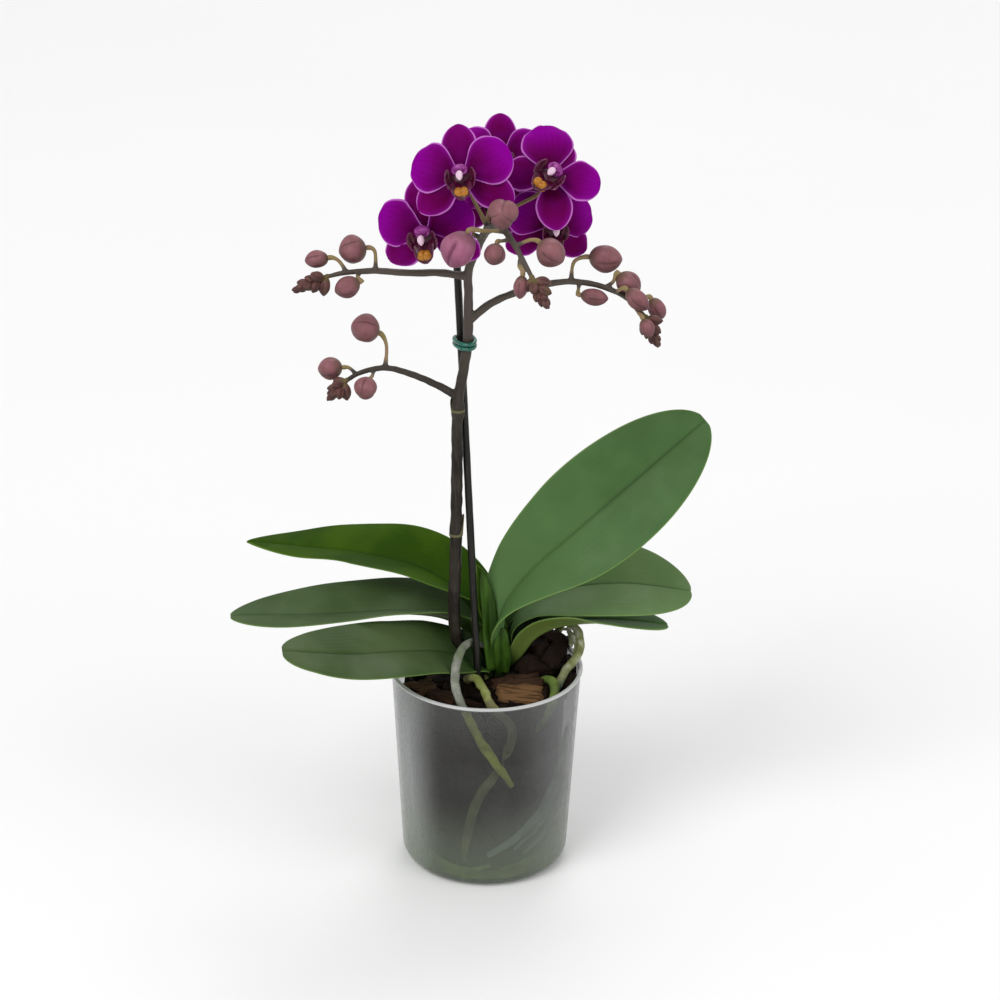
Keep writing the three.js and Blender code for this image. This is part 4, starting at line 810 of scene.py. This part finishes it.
def make_bark():
    draw = np.random.default_rng(7)
    cube, faces = block()
    form = Form()

    def chip(size, at, turn, tone, inset=None):
        """One chip. With an inset it is kept that far inside the pot's wall."""
        shape = cube / np.linalg.norm(cube, axis=1, keepdims=True) ** 0.12 * np.array(size) * 0.52
        ragged = wobble(shape * [0, 1, 1.6], 3.4, int(draw.integers(1e6)))
        shape = shape + np.array([1, 0, 0]) * (0.7 * ragged * np.sign(shape[:, 0]))[:, None]
        shape = shape + shape * 0.13 * wobble(shape, 9, int(draw.integers(1e6)))[:, None]
        shape = shape + 0.3 * wobble(shape * [0.3, 1, 1], 2.2, int(draw.integers(1e6)))[:, None] * unit(shape)
        a, b, c = np.radians(turn)
        turned = Matrix.Rotation(c, 3, "Z") @ Matrix.Rotation(b, 3, "Y") @ Matrix.Rotation(a, 3, "X")
        points = shape @ np.array(turned).T + at
        if inset is not None:
            reach = np.array([root_reach(max(z, FOOT_ROUND), inset) for z in points[:, 2]])
            radius = np.hypot(points[:, 0], points[:, 1])
            points[:, :2] *= np.minimum(1, reach / np.maximum(radius, 1e-6))[:, None]
            points[:, 2] = np.maximum(points[:, 2], POT_WALL + 0.4)
        grain = (shape + draw.uniform(0, 200, 3)) * MM
        form.add(points, faces, tone=tone, grain_x=grain[:, 0], grain_y=grain[:, 1], grain_z=grain[:, 2])

    for size, at, turn, tone in SHOWN_CHIPS:
        chip(size, at, turn, tone, 0.5)
    # the top layer, the heap behind the right leaves, and what shows through the wall
    for i in range(TOP_CHIPS):
        x, y = spiral(i, TOP_RADIUS * math.sqrt((i + 0.6) / TOP_CHIPS))
        z = bark_level(x, y) - draw.uniform(2, 4.5)
        turn = (*draw.uniform(-20, 20, 2), draw.uniform(0, 360))
        size = np.array((15, 9, 4.5)) * draw.uniform(0.75, 1.25, 3)
        chip(size, (x, y, z), turn, draw.uniform(0.1, 0.72), 4)
    for i in range(HEAP_CHIPS):
        away = spiral(i, MOUND["radius"] * 0.7 * math.sqrt((i + 0.5) / HEAP_CHIPS))
        x, y = MOUND["x"] + away[0], MOUND["y"] + away[1]
        size = np.array((12, 8, 6)) * draw.uniform(0.8, 1.2, 3)
        chip(size, (x, y, bark_level(x, y) - 4), draw.uniform(-50, 50, 3), draw.uniform(0.1, 0.5))
    for i in range(WALL_CHIPS):
        z = 5 + 82 * ((i + 0.5) / WALL_CHIPS)
        size = np.array((13, 6, 9)) * draw.uniform(0.8, 1.3, 3)
        chip(size, (*spiral(i, root_reach(z, 9)), z), draw.uniform(0, 180, 3), draw.uniform(0, 0.5), 5.2)
    core = [(0.05, 2), (22, 2), (30, 6), (inner_radius(30) - 7, 30), (inner_radius(60) - 7, 60),
            (inner_radius(86) - 6, 86), (24, 90), (10, 92.5), (0.05, 93)]
    form.loft(lathe(core, 48), tone=0.1)
    heap = lathe([(0.05, 90), (8, 90), (10, 96), (8, 102), (4, 105), (0.05, 105.5)], 24)
    form.loft(heap + [MOUND["x"], MOUND["y"], 0], tone=0.15)
    form.piece("bark", "bark")


# ---------------- crown and leaves
# Old leaf bases that stand round the crown: half width, how dark their painted shade is, and course.
SHEATHS = [
    (3.8, 0.2, [(2.6, -7.4, 99), (1.8, -8, 114), (0.8, -7.6, 131), (-2.6, -6, 149)]),
    (4.2, 0.25, [(7.4, -5.4, 97), (7.4, -7.4, 106), (6.9, -9.2, 114), (7.4, -9.8, 122)]),
    (5.0, 0.55, [(6.4, -2, 97), (9.4, -1.5, 107), (14, 1.5, 116), (25, 8, 123)]),
    (4.0, 0.5, [(-1, -5, 98), (-4.5, -6, 103), (-8, -5.5, 110), (-11.5, -3, 118)]),
]


def make_crown():
    """The fan of leaf sheaths: a flat body in ridges, with painted shade in the folds between them and over
    the old leaf bases.
    """
    form = Form()
    x, y, radius, stretch, bottom, shoulder, top = CROWN.values()
    levels = np.linspace(0, 1, 46)
    turn = np.linspace(0, 2 * np.pi, 160, endpoint=False)
    z = bottom + (top - bottom) * levels
    reach = np.interp(z, [bottom, bottom + 14, shoulder, top - 3, top], [0.5, 0.78, 1.0, 0.66, 0.3]) * radius
    ridge = np.abs(np.sin(2.5 * (turn + 0.35 * levels[:, None]) + 0.5)) ** 0.6
    fine = wobble(np.stack([9 * np.cos(turn), 9 * np.sin(turn), 0 * turn], -1), 5, 17)[None]
    reach = reach[:, None] * (0.9 + 0.13 * ridge + 0.02 * fine)
    rings = [x + stretch * reach * np.cos(turn), y + reach * np.sin(turn), z[:, None] + 0 * reach]
    form.loft(np.stack(rings, -1), crease=(1 - ridge) ** 2, level=levels)
    for number, (half_width, tone, spine) in enumerate(SHEATHS):
        blade(form, spine, [(0.15, -0.9, 0.3)] * 4, half_width, (0.75, 0.4, 0.5), (30, 6), 1.2, 40,
              HALF_PETAL, ripple=0.3, ripple_size=12, seed=70 + number, level=1, crease=tone)
    form.piece("crown", "crown")


# Each leaf's name and look, its half width, the fold of its halves at root and tip and how much more they
# clasp at the root, its outline, its spine, and the way its upper side faces along it.
LEAVES = [
    ("leaf_left_low", "leaf_blue", 20, (14, 1), 10, (0.6, 0.52, 0.44), [
        (-1.8, -1, 98), (-6.5, -1.9, 100.6), (-12.5, -4, 104.6), (-24, -11.5, 110.3), (-40, -24, 116),
        (-61, -37, 121), (-79, -42.5, 124.5), (-92, -45, 126.5),
    ], [
        (0.5, -0.1, 0.9), (0.4, -0.2, 0.9), (0.25, -0.35, 0.9), (0.1, -0.4, 0.9), (0, -0.35, 1), (0, -0.3, 1),
        (0, -0.25, 1), (0, -0.2, 1),
    ]),
    ("leaf_left_middle", "leaf_grey", 20.4, (38, 5), 6, (0.85, 0.56, 0.55), [
        (-2.2, 4.5, 105), (-8, 8, 112), (-19.5, 10, 118), (-40, 7.5, 121.5), (-68, 3, 122), (-96, 0, 122),
        (-119, -2, 122.5),
    ], [
        (0.9, 0, 0.4), (0.6, 0, 0.8), (0.3, 0, 1), (0, -0.05, 1), (0, -0.05, 1), (0, -0.05, 1),
        (-0.1, -0.05, 1),
    ]),
    ("leaf_left_high", "leaf_deep", 21.5, (36, 5), 12, (0.6, 0.4, 0.85), [
        (0, 5.8, 110.5), (-4.6, 10, 119.5), (-12, 14, 127.6), (-31, 21, 137), (-60, 27, 141.6),
        (-88, 32, 142.3), (-114, 36, 143),
    ], [
        (0.95, -0.1, 0.3), (0.9, -0.15, 0.4), (0.6, -0.3, 0.75), (0.15, -0.25, 1), (0, -0.1, 1), (0, -0.1, 1),
        (0, -0.1, 1),
    ]),
    ("leaf_right_low", "leaf", 14, (40, 8), 0, (0.34, 0.6, 0.52), [
        (11.2, -0.9, 99.2), (15.6, -4.2, 106.6), (21.6, -5, 115.5), (30, -3.5, 120), (42, 2.8, 119.4),
        (60, 9.8, 116.6), (85, 14, 112.4),
    ], [
        (-0.7, 0.5, 0.6), (-0.6, 0.5, 0.75), (-0.4, 0.45, 0.85), (-0.1, 0.3, 0.95), (0.1, 0.1, 1),
        (0.2, 0, 1), (0.3, 0, 1),
    ]),
    ("leaf_right_middle", "leaf_pale", 21.8, (20, 6), -10, (0.46, 0.62, 0.5), [
        (10.9, 4.5, 105), (10.8, 5.6, 115), (16, 8, 124), (34, 13, 130.5), (62, 18, 132), (96, 24, 125.6),
    ], [
        (-0.95, -0.3, 0.3), (-0.85, -0.2, 0.5), (-0.4, -0.35, 0.9), (-0.1, -0.5, 0.87), (0.1, -0.48, 0.87),
        (0.25, -0.4, 0.88),
    ]),
    ("leaf_right_high", "leaf_upright", 27, (34, 4), 30, (0.1, 0.58, 0.52), [
        (8.4, -4.2, 104), (6.6, -7, 116), (7.6, -7.5, 130), (19, -4.5, 147), (40.5, 1, 166.3), (71, 8, 193),
        (98.5, 12, 218.3),
    ], [
        (-0.6, 0.6, 0.1), (-0.8, 0, 0.2), (-0.75, -0.5, 0.35), (-0.5, -0.8, 0.4), (-0.28, -0.9, 0.4),
        (-0.2, -0.88, 0.42), (-0.2, -0.85, 0.45),
    ]),
    ("leaf_centre_young", "leaf_young", 5.6, (44, 26), 12, (0.6, 0.5, 0.8), [
        (1.2, 1.2, 117), (-1, 2.6, 125), (-2.6, 3.6, 136), (-5.2, 5, 147),
    ], [
        (0.4, -0.9, 0.1), (0.4, -0.9, 0.1), (0.5, -0.85, 0.2), (0.6, -0.7, 0.3),
    ]),
]


def make_leaves():
    for number, (name, look, half_width, fold, clasp, shape, spine, ups) in enumerate(LEAVES):
        young = look == "leaf_young"
        form = Form()
        blade(form, spine, ups, half_width, shape, fold, LEAF_THICKNESS, 84, HALF_LEAF,
              groove=0.35 if young else 0.5, keel=0.9, puff=0.03, ripple=0.28, ripple_size=44, clasp=clasp,
              seed=80 + number)
        form.piece(name, look, "leaf_young" if young else "leaf")


# ---------------- spike
# The course and the radii of the stem, then of its branches.
STEM = ([
    (-0.5, -0.2, 104.4), (-6.5, -2.6, 107), (-12.8, -6.2, 112.2), (-14.8, -8, 122), (-14.4, -8, 165),
    (-14.2, -8, 200), (-13.9, -8, 233), (-12, -8, 246), (-9.8, -8, 262), (-9.6, -8, 282), (-9.4, -9, 297),
    (-6, -11, 306), (-3.6, -16, 314), (-0.5, -26, 321.5), (3, -38, 327), (6.5, -49, 328), (10.5, -58, 325),
    (14.5, -66, 320), (17.5, -71, 316),
], [2.2, 2.6, 2.8, 2.8, 2.8, 2.7, 2.7, 2.6, 2.5, 2.4, 2.3, 2.2, 2, 1.9, 1.8, 1.8, 1.6, 1.3, 1])
BRANCHES = [
    ([
        (-13.8, -8, 236), (-24, -11, 243), (-35, -14, 249), (-46, -16, 252.5), (-57, -18.5, 251),
        (-63, -20, 247.8),
    ], [2, 1.7, 1.5, 1.4, 1.2, 1]),
    ([
        (-9.4, -8.5, 293), (-22, -11, 295.5), (-35, -13, 296), (-50, -15, 297.5), (-58, -16.5, 297.6),
        (-65, -17.8, 297.2), (-71, -19, 296),
    ], [2, 1.7, 1.6, 1.5, 1.4, 1.2, 1]),
    ([
        (-9.6, -8, 272), (0, -9, 280.5), (11, -12, 287), (22, -16, 292), (35, -20, 295.5), (48, -24, 295),
        (58.5, -28, 291.5), (67.5, -32, 284),
    ], [2, 1.8, 1.6, 1.5, 1.4, 1.3, 1.1, 0.9]),
]
# Where the stem swells, and the foot, height and facing of the bract that grows there.
JOINTS = [(-14.4, 171, 168, 9, 0.3), (-13.9, 230, 229, 4.5, 2.4)]

# Each bud's name, the root, bend and seat of its stalk, its aim, length and radius.
BUDS = [
    ("bud_left_low_1", (-46, -16, 252), (-45.5, -14.5, 263), (-49, -13, 267.8),
     (-0.89, -0.23, 0.4), 13, 6.2),
    ("bud_left_low_2", (-51, -16.8, 252), (-51.5, -21, 250.5), (-52.5, -23, 249.5),
     (-0.3, -0.85, -0.4), 10.5, 4.9),
    ("bud_left_low_3", (-58.5, -18.7, 250.3), (-62, -15, 252), (-65, -13.8, 251.6),
     (-0.95, 0.05, -0.1), 11, 4.9),
    ("bud_left_high_1", (-50, -15, 297.5), (-50.6, -12.5, 306), (-54.1, -11.5, 306.8),
     (-0.98, -0.13, -0.12), 12.2, 6.2),
    ("bud_left_high_2", (-62, -17.5, 296.6), (-66, -15.2, 302), (-70.5, -14.4, 303),
     (-0.99, 0, -0.15), 10.5, 3.8),
    ("bud_left_high_3", (-57, -16.7, 297.2), (-57.5, -21.5, 296.5), (-56.7, -23, 295.2),
     (-0.92, -0.22, -0.33), 11.5, 4.6),
    ("bud_right_1", (35, -20, 295.5), (36.5, -17.5, 304), (42.7, -17, 305.8),
     (0.99, -0.1, -0.03), 14.6, 5.9),
    ("bud_right_2", (38.5, -21.2, 295.5), (38.2, -25.4, 293.4), (39.2, -27, 292),
     (0.98, -0.17, -0.08), 12.2, 3.6),
    ("bud_right_3", (50, -24.5, 294.5), (53.5, -25, 298), (55.6, -24, 300.6),
     (0.73, -0.17, -0.66), 12, 5),
    ("bud_right_4", (54, -26.3, 293), (56, -30.6, 296), (59, -32, 296.4),
     (0.75, -0.25, -0.61), 12.4, 4),
    ("bud_right_5", (62, -29.4, 289), (67, -25, 290.4), (69.9, -23.5, 289.2),
     (0.52, 0.05, -0.86), 10.7, 3.7),
    ("bud_right_6", (63, -30, 287.8), (64.6, -35.2, 286.6), (66.1, -37, 285),
     (0.42, -0.35, -0.84), 8.5, 3.1),
    ("bud_front_top", (6, -47, 328), (7, -51, 334), (5.8, -53.8, 338),
     (-0.1, -0.95, 0.3), 12.5, 6.1),
    ("bud_front_opening", (6, -48, 328), (-3, -55, 330.5), (-9.5, -56.5, 330),
     (-0.45, -0.1, -0.88), 16.5, 7),
    ("bud_front_left", (8.5, -54, 326.6), (4.5, -53.5, 325.5), (2.8, -53, 324),
     (-0.2, -0.6, -0.75), 9.5, 4.4),
    ("bud_front_right", (10.5, -58, 325), (17, -60, 328.5), (20.8, -60.8, 327.5),
     (0.73, -0.47, -0.49), 13, 5.9),
    ("bud_front_low", (13, -63, 321.8), (12.2, -66, 319), (13.6, -68, 315.6),
     (-0.1, -0.25, -0.96), 10, 3),
]

# The knots of the smallest buds: name, foot, aim, length and seed.
BUD_TIPS = [
    ("bud_tip_left_low", (-63, -20, 247.8), (-0.7, -0.4, -0.6), 13, 3),
    ("bud_tip_left_high", (-71, -19, 296), (-0.92, -0.16, -0.36), 20, 5),
    ("bud_tip_right", (67.6, -32, 283.8), (0.4, -0.1, -0.9), 18, 8),
    ("bud_tip_front", (17.6, -71.1, 315.8), (0.47, -0.35, -0.81), 18, 11),
]

# Outlines of the parts of a bloom, and how far each lies in front, then their turns in degrees.
SEPAL = {"length": 23, "half_width": 7.6, "forward": 0, "shape": (0.3, 0.52, 0.55)}
PETAL = {"length": 22, "half_width": 10.8, "forward": 1.5, "shape": (0.2, 0.54, 0.42)}
TEPALS = [(90, SEPAL), (211, SEPAL), (329, SEPAL), (156, PETAL), (24, PETAL)]
TURNED_TEPALS = [
    (116, {**SEPAL, "length": 17}),
    (215, {**SEPAL, "length": 19.5}),
    (320, {**SEPAL, "length": 22}),
    (139, PETAL),
    (34, {**PETAL, "length": 20.5, "half_width": 8.6}),
]

# Each bloom's name, centre, the way it faces and its top points, its size, and the course of its stalk.
BLOOMS = [
    ("bloom_front_left", (-12.3, -44, 350.5), (-0.1, -0.88, 0.42), (-0.12, 0.44, 0.87), 1.02,
     [(-0.8, -25, 321), (-7, -28, 334), (-11, -34, 345)]),
    ("bloom_right", (25.3, -27, 345), (0.06, -0.8, 0.59), (0.68, 0.48, 0.58), 1.06,
     [(1.5, -33, 324.5), (10, -26, 331), (20, -20, 335)]),
    ("bloom_back_top", (3.5, -8, 346), (0.06, -0.84, 0.5), (0.02, 0.5, 0.84), 0.95,
     [(-2.6, -19, 316.5), (0, -5, 327), (3, -0.5, 339)]),
    ("bloom_left_low", (-27, -33, 322.5), (-0.27, -0.94, -0.05), (-0.2, 0, 0.96), 1.04,
     [(-3.9, -15, 313), (-14, -16, 318), (-24, -23, 322)]),
    ("bloom_right_low", (25.5, -16, 319.5), (0.32, -0.92, 0.08), (0.12, 0.06, 0.98), 0.94,
     [(-2, -21, 318), (9, -10, 318), (20, -6, 319.5)]),
    ("bloom_middle", (3, 4, 323), (0.02, -0.96, 0.2), (0.1, 0.2, 0.96), 0.92,
     [(-7.6, -10, 302), (-4, 5, 306), (1, 12, 317)]),
]


def bloom_place(centre, facing, up, size):
    """The matrix that carries a bloom's own frame (right, up, facing) to its place."""
    z = unit(facing)
    x = unit(np.cross(up, z))
    place = np.eye(4)
    place[:3, :3] = np.stack([x, np.cross(z, x), z], axis=1) * size
    place[:3, 3] = centre
    return place


def make_spike():
    """The stem, its branches and every stalk, melted together so that they grow out of each other."""
    woody, soft = [STEM, *BRANCHES], []
    for _, root, bend, seat, aim, _, _ in BUDS:
        way = unit(aim)
        end = np.array(seat) - way * GAP
        soft.append(([root, bend, end - way * 1.2, end + way], [1.25, 0.85, 0.9, 1.4]))
    for _, *seat, stalk in BLOOMS:
        before, back = (put(np.array([0, 0, z]), bloom_place(*seat)) for z in (-7, -OVARY_LENGTH - GAP))
        soft.append(([*stalk, before, back], [1.25, 0.9, 0.9, 1.2]))
    form = Form()
    marks, kinds = [], []
    for number, (points, radii) in enumerate(woody + soft):
        form.loft(tube_rings(points, radii, 16, 1.0, 0.05, 6, 100 + number))
        line = Curve(points).at(np.linspace(0, 1, 60 if number else 300))
        paler = 0.26 * smooth_step(190, 310, line[:, 2])
        green = smooth_step(1, 6, np.linalg.norm(line - line[0], axis=1))
        marks += list(line)
        kinds += list(paler if number < len(woody) else np.maximum(paler, green))
    for x, level, *_ in JOINTS:
        course = [(x, STEM_Y, level + step) for step in (-6, 0, 5)]
        form.loft(tube_rings(course, [2.75, 3.15, 2.75], 20, 0.8))
    raw = placed("scratch", form.mesh("flower_spike"))
    melt = raw.modifiers.new("melt", "REMESH")
    melt.mode, melt.voxel_size = "VOXEL", MELT_CELL * MM
    soften = raw.modifiers.new("soften", "SMOOTH")
    soften.factor, soften.iterations = 0.5, 4
    mesh = evaluated(raw)
    tree = kdtree.KDTree(len(marks))
    for i, point in enumerate(marks):
        tree.insert(point, i)
    tree.balance()
    values = [float(kinds[tree.find(v.co / MM)[1]]) for v in mesh.vertices]
    mesh.attributes.new("stalk", "FLOAT", "POINT").data.foreach_set("value", values)
    mesh.shade_smooth()
    mesh.name = "flower_spike"
    piece("flower_spike", mesh, LOOKS["stem"], ["flower_spike"])

    bracts = Form()
    turn = np.linspace(0, 2 * np.pi, 28, endpoint=False)
    rows = np.linspace(0, 1, 10)[:, None]
    for x, _, foot, height, facing in JOINTS:
        towards = np.clip(np.cos(turn - facing), 0, 1)
        z = foot + rows * (1.2 + height * towards**3)[None]
        lean = 0.1 + 0.6 * rows * towards[None] ** 2
        radius, z = np.concatenate([3.05 + lean, 2.7 + lean[::-1]]), np.concatenate([z, z[::-1]])
        bracts.loft(np.stack([x + radius * np.cos(turn), STEM_Y + radius * np.sin(turn), z], -1), bract=1)
    bracts.piece("bracts", "stem", node="flower_spike")


# ---------------- buds
# How a bud is folded: where it is widest, how deep and wide its seams are, its bulge and its point.
BUD_FOLDS = {
    "bud": (0.5, 0.08, 0.15, 0.06, 0.15),
    "bud_opening": (0.5, 0.24, 0.17, 0.1, 0.2),
    "bud_young": (0.5, 0.16, 0.22, 0.08, 0.3),
}


def bud_shape(form, kind, at, aim, length, radius, turn, sides, rings):
    """A bud whose seam is turned by an angle from the front, and how far up each point is on it, for the
    painted light on its top.
    """
    local, along, seam = egg_rings(length, radius, sides, rings, *BUD_FOLDS[kind])
    front = aimed(at, aim)[:3, :3].T @ np.array([0, -0.9, 0.4])
    rings = put(local, aimed(at, aim, math.atan2(front[1], front[0]) + turn))
    upper = (rings[..., 2] - rings[..., 2].min()) / np.ptp(rings[..., 2])
    form.loft(rings, along=along, seam=seam, upper=smooth_step(0.15, 0.85, upper))


def make_buds():
    for number, (name, _, _, seat, aim, length, radius) in enumerate(BUDS):
        kind = "bud_opening" if name == "bud_front_opening" else "bud"
        turn = 0.4 if kind == "bud_opening" else 0.9 * math.sin(2.1 * number + 0.6)
        form = Form()
        bud_shape(form, kind, seat, aim, length, radius * 1.03, turn, 72, 48)
        form.piece(name, kind)


def make_bud_tips():
    for name, start, aim, length, seed in BUD_TIPS:
        draw = np.random.default_rng(seed)
        way = unit(aim)
        start = np.array(start)
        form = Form()
        axis = tube_rings([start - way * 1.5, start + way * length * 0.8], [1.2, 0.9], 12, 0.7)
        # The axis takes a little of the painted top light of the buds.
        form.loft(axis, along=0.1, upper=0.3)
        turned = aimed((0, 0, 0), way)[:3, :3]
        for i, share in enumerate(np.arange(13) / 12):
            angle = i * 2.3 + seed
            lean = 1.05 + (0.12 - 1.05) * share
            side = turned @ np.array([math.cos(angle), math.sin(angle), 0])
            direction = way * math.cos(lean) + side * math.sin(lean)
            at = start + way * (0.5 + share**0.9 * length * 0.62)
            size = (1.12 + (0.5 - 1.12) * share) * draw.uniform(0.82, 1.1)
            turn = draw.uniform(-0.6, 0.6)
            bud_shape(form, "bud_young", at, direction, 7.2 * size, 2.25 * size, turn, 30, 20)
        form.piece(name, "bud_young")


# ---------------- blooms
def seeded(state):
    while True:
        state = (state * 1664525 + 1013904223) % 4294967296
        yield state / 4294967296


def make_tepals(name, place, tepals, draw, number):
    form = Form()
    for k, (angle, tepal) in enumerate(tepals):
        turn = math.radians(angle + 5 * (next(draw) - 0.5))
        reach = tepal["length"] * (0.96 + 0.08 * next(draw))
        bend = -1.6 + 2 * (next(draw) - 0.5)
        spine = [(math.cos(turn) * share * reach, math.sin(turn) * share * reach, z + tepal["forward"])
                 for share, z in ((0.08, 0), (0.35, 0.9), (0.7, 0.6), (1, bend))]
        puff, ripple, sepal = (0.05, 0.55, 0) if tepal["forward"] else (0.03, 0.35, 1)
        blade(form, spine, [(0, 0, 1)] * 4, tepal["half_width"], tepal["shape"], (-4, -9), TEPAL_THICKNESS,
              40, HALF_PETAL, place, groove=0.12, keel=0.25, puff=puff, ripple=ripple, ripple_size=8,
              seed=300 + 10 * number + k, sepal=sepal)
    ovary = tube_rings([(0, 0, -OVARY_LENGTH), (0, 0, -1.5), (0, 0, 1.2)], [1.25, 1.7, 2.4], 18, 0.6)
    form.loft(put(ovary, place), along=0.05, edge=9)
    form.piece(name, "petal")


def egg_at(point, direction, place, *egg):
    """An egg that points in a direction of a bloom's own frame, carried to the bloom's place."""
    return put(put(egg_rings(*egg)[0], aimed(point, direction)), place)


def make_lip(name, place, number):
    """The tongue, the two side lobes that frame the throat, and the callus between them."""
    form = Form()
    blade(form, [(0, -2.5, 2), (0, -4.4, 5.2), (0, -7.6, 8.3), (0, -11, 9.2)],
          [(0, 0.8, 0.6), (0, 0.7, 0.7), (0, 0.5, 0.85), (0, 0.2, 1)], 4.8, (0.7, 0.5, 0.6), (26, 14), 1.0,
          24, HALF_PETAL, place, puff=0.06, ripple=0.3, ripple_size=4, seed=400 + number)
    for side in (1, -1):
        mirror = lambda points: [(side * x, y, z) for x, y, z in points]
        blade(form, mirror([(1.6, -5.4, 4), (4.2, -4.4, 5.6), (5.2, -1, 6.8), (4.9, 2.6, 7.2)]),
              mirror([(-0.3, 0.8, 0.5), (-0.6, 0.5, 0.6), (-0.7, 0, 0.7), (-0.6, -0.2, 0.8)]),
              2.5, (0.6, 0.45, 0.6), (0, 10), 0.9, 24, HALF_PETAL, place, puff=0.08, ripple=0.3,
              ripple_size=3, seed=410 + number)
        knob = egg_at((side * 0.95, -7.4, 6), (side * 0.1, -0.1, 1), place, 4.6, 2.25, 28, 20, 0.5, 0.05, 0.2)
        form.loft(knob, callus=1, edge=9)
    form.loft(egg_at((0, -2, 1.6), (0, 0, 1), place, 3.4, 4.2, 28, 16, 0.5, 0, 0.2, 0), edge=9)
    form.piece(name, "lip")


def make_column(name, place):
    """The column with its hood, and the anther cap that hangs from its end."""
    form = Form()
    body = tube_rings([(0, 0.3, 2.65), (0, 1.4, 5), (0, 2, 7), (0, 1.2, 8.2)], [2.0, 2.6, 2.9, 1.8], 28, 0.5)
    form.loft(put((body - [0, 1.6, 0]) * [1.2, 0.85, 1] + [0, 1.9, 0], place))
    cap = egg_at((0, 1.4, 8.6), (0, -0.95, 0.3), place, 4.4, 1.5, 24, 20, 0.42, 0.1, 0.25, 0.06, 0.3)
    form.loft(cap, cap=1)
    form.piece(name, "column")


def make_blooms():
    draw = seeded(21)
    for number, (name, *seat, _) in enumerate(BLOOMS):
        place = bloom_place(*seat)
        make_tepals(name + "_tepals", place, TURNED_TEPALS if name == "bloom_right" else TEPALS, draw, number)
        make_column(name + "_column", place)
        make_lip(name + "_lip", place, number)


# ---------------- stake and tie
def make_stake():
    form = Form()
    form.loft(tube_rings([STAKE_FOOT, STAKE_TIP], [STAKE_RADIUS, STAKE_RADIUS], 32, 3, 0.02, 14, 9))
    form.piece("stake", "stake")


def make_tie():
    """Wire wound twice round the stem and the stake."""
    stem = np.array([-9.8, STEM_Y, TIE_LEVEL])
    share = (TIE_LEVEL - STAKE_FOOT[2]) / (STAKE_TIP[2] - STAKE_FOOT[2])
    across = STAKE_FOOT + (STAKE_TIP - STAKE_FOOT) * share - stem
    middle = stem + across * 0.44
    across = across * [1, 1, 0]
    half_long = np.linalg.norm(across) / 2 + STAKE_RADIUS + GAP + TIE_WIRE_RADIUS + 0.5
    long = unit(across)
    short = np.array([-long[1], long[0], 0])
    share = np.linspace(0, 1, 49)
    turn = 4 * np.pi * share - 0.6
    points = middle + np.cos(turn)[:, None] * half_long * long + np.sin(turn)[:, None] * 3.9 * short
    points[:, 2] = TIE_LEVEL + 2.3 * TIE_WIRE_RADIUS * 2 * (share - 0.5)
    form = Form()
    form.loft(tube_rings(points, [TIE_WIRE_RADIUS] * 2, 16, 0.6, 0.05, 3, 5))
    form.piece("tie", "tie")


make_pot()
make_bark()
make_roots()
make_crown()
make_leaves()
make_spike()
make_buds()
make_bud_tips()
make_blooms()
make_stake()
make_tie()


# ---------------- stage
def make_floor():
    look = Look("floor", Roughness=0.9)
    look.set("Base Color", look.mix(look.noise(400, 2), (0.9, 0.9, 0.9), (0.93, 0.93, 0.93)))
    form = Form()
    form.add([(-4000, -2500, 0), (4000, -2500, 0), (4000, 6000, 0), (-4000, 6000, 0)], [(0, 1, 2, 3)])
    floor = placed("floor", form.mesh("floor"))
    floor.data.materials.append(look.material)


def make_light(name, at, target, size, watts):
    lamp = bpy.data.lights.new(name, "AREA")
    lamp.shape, lamp.size, lamp.energy = "DISK", size, watts
    place = aimed(np.array(at) * MM, np.array(at, float) - np.array(target, float))
    placed(name, lamp).matrix_world = Matrix(place.tolist())


def make_camera():
    """The camera of the photo, fitted to the rim and the foot of the pot."""
    lens = bpy.data.cameras.new("camera")
    lens.sensor_width, lens.lens = 36, 112.7
    lens.clip_start, lens.clip_end = 0.05, 30
    down, roll, at = 24.15, 0.7, (0.0054, -1.3, 0.765)
    turn = Matrix.Rotation(math.radians(90 - down), 4, "X") @ Matrix.Rotation(math.radians(roll), 4, "Z")
    made = placed("camera", lens)
    made.matrix_world = Matrix.Translation(at) @ turn
    bpy.context.scene.camera = made


make_floor()
make_light("key", (-1800, -2200, 3200), (0, 0, 200), 2.4, 80)
make_light("fill", (2400, -1600, 1700), (0, 0, 180), 2.4, 24)
make_light("back", (500, 2700, 3000), (0, 0, 250), 2.2, 36)
make_camera()

world = bpy.data.worlds.new("world")
world.use_nodes = True
world.node_tree.nodes["Background"].inputs["Color"].default_value = (1, 1, 1, 1)
world.node_tree.nodes["Background"].inputs["Strength"].default_value = 0.55
bpy.context.scene.world = world
bpy.context.scene.view_settings.view_transform = "Standard"
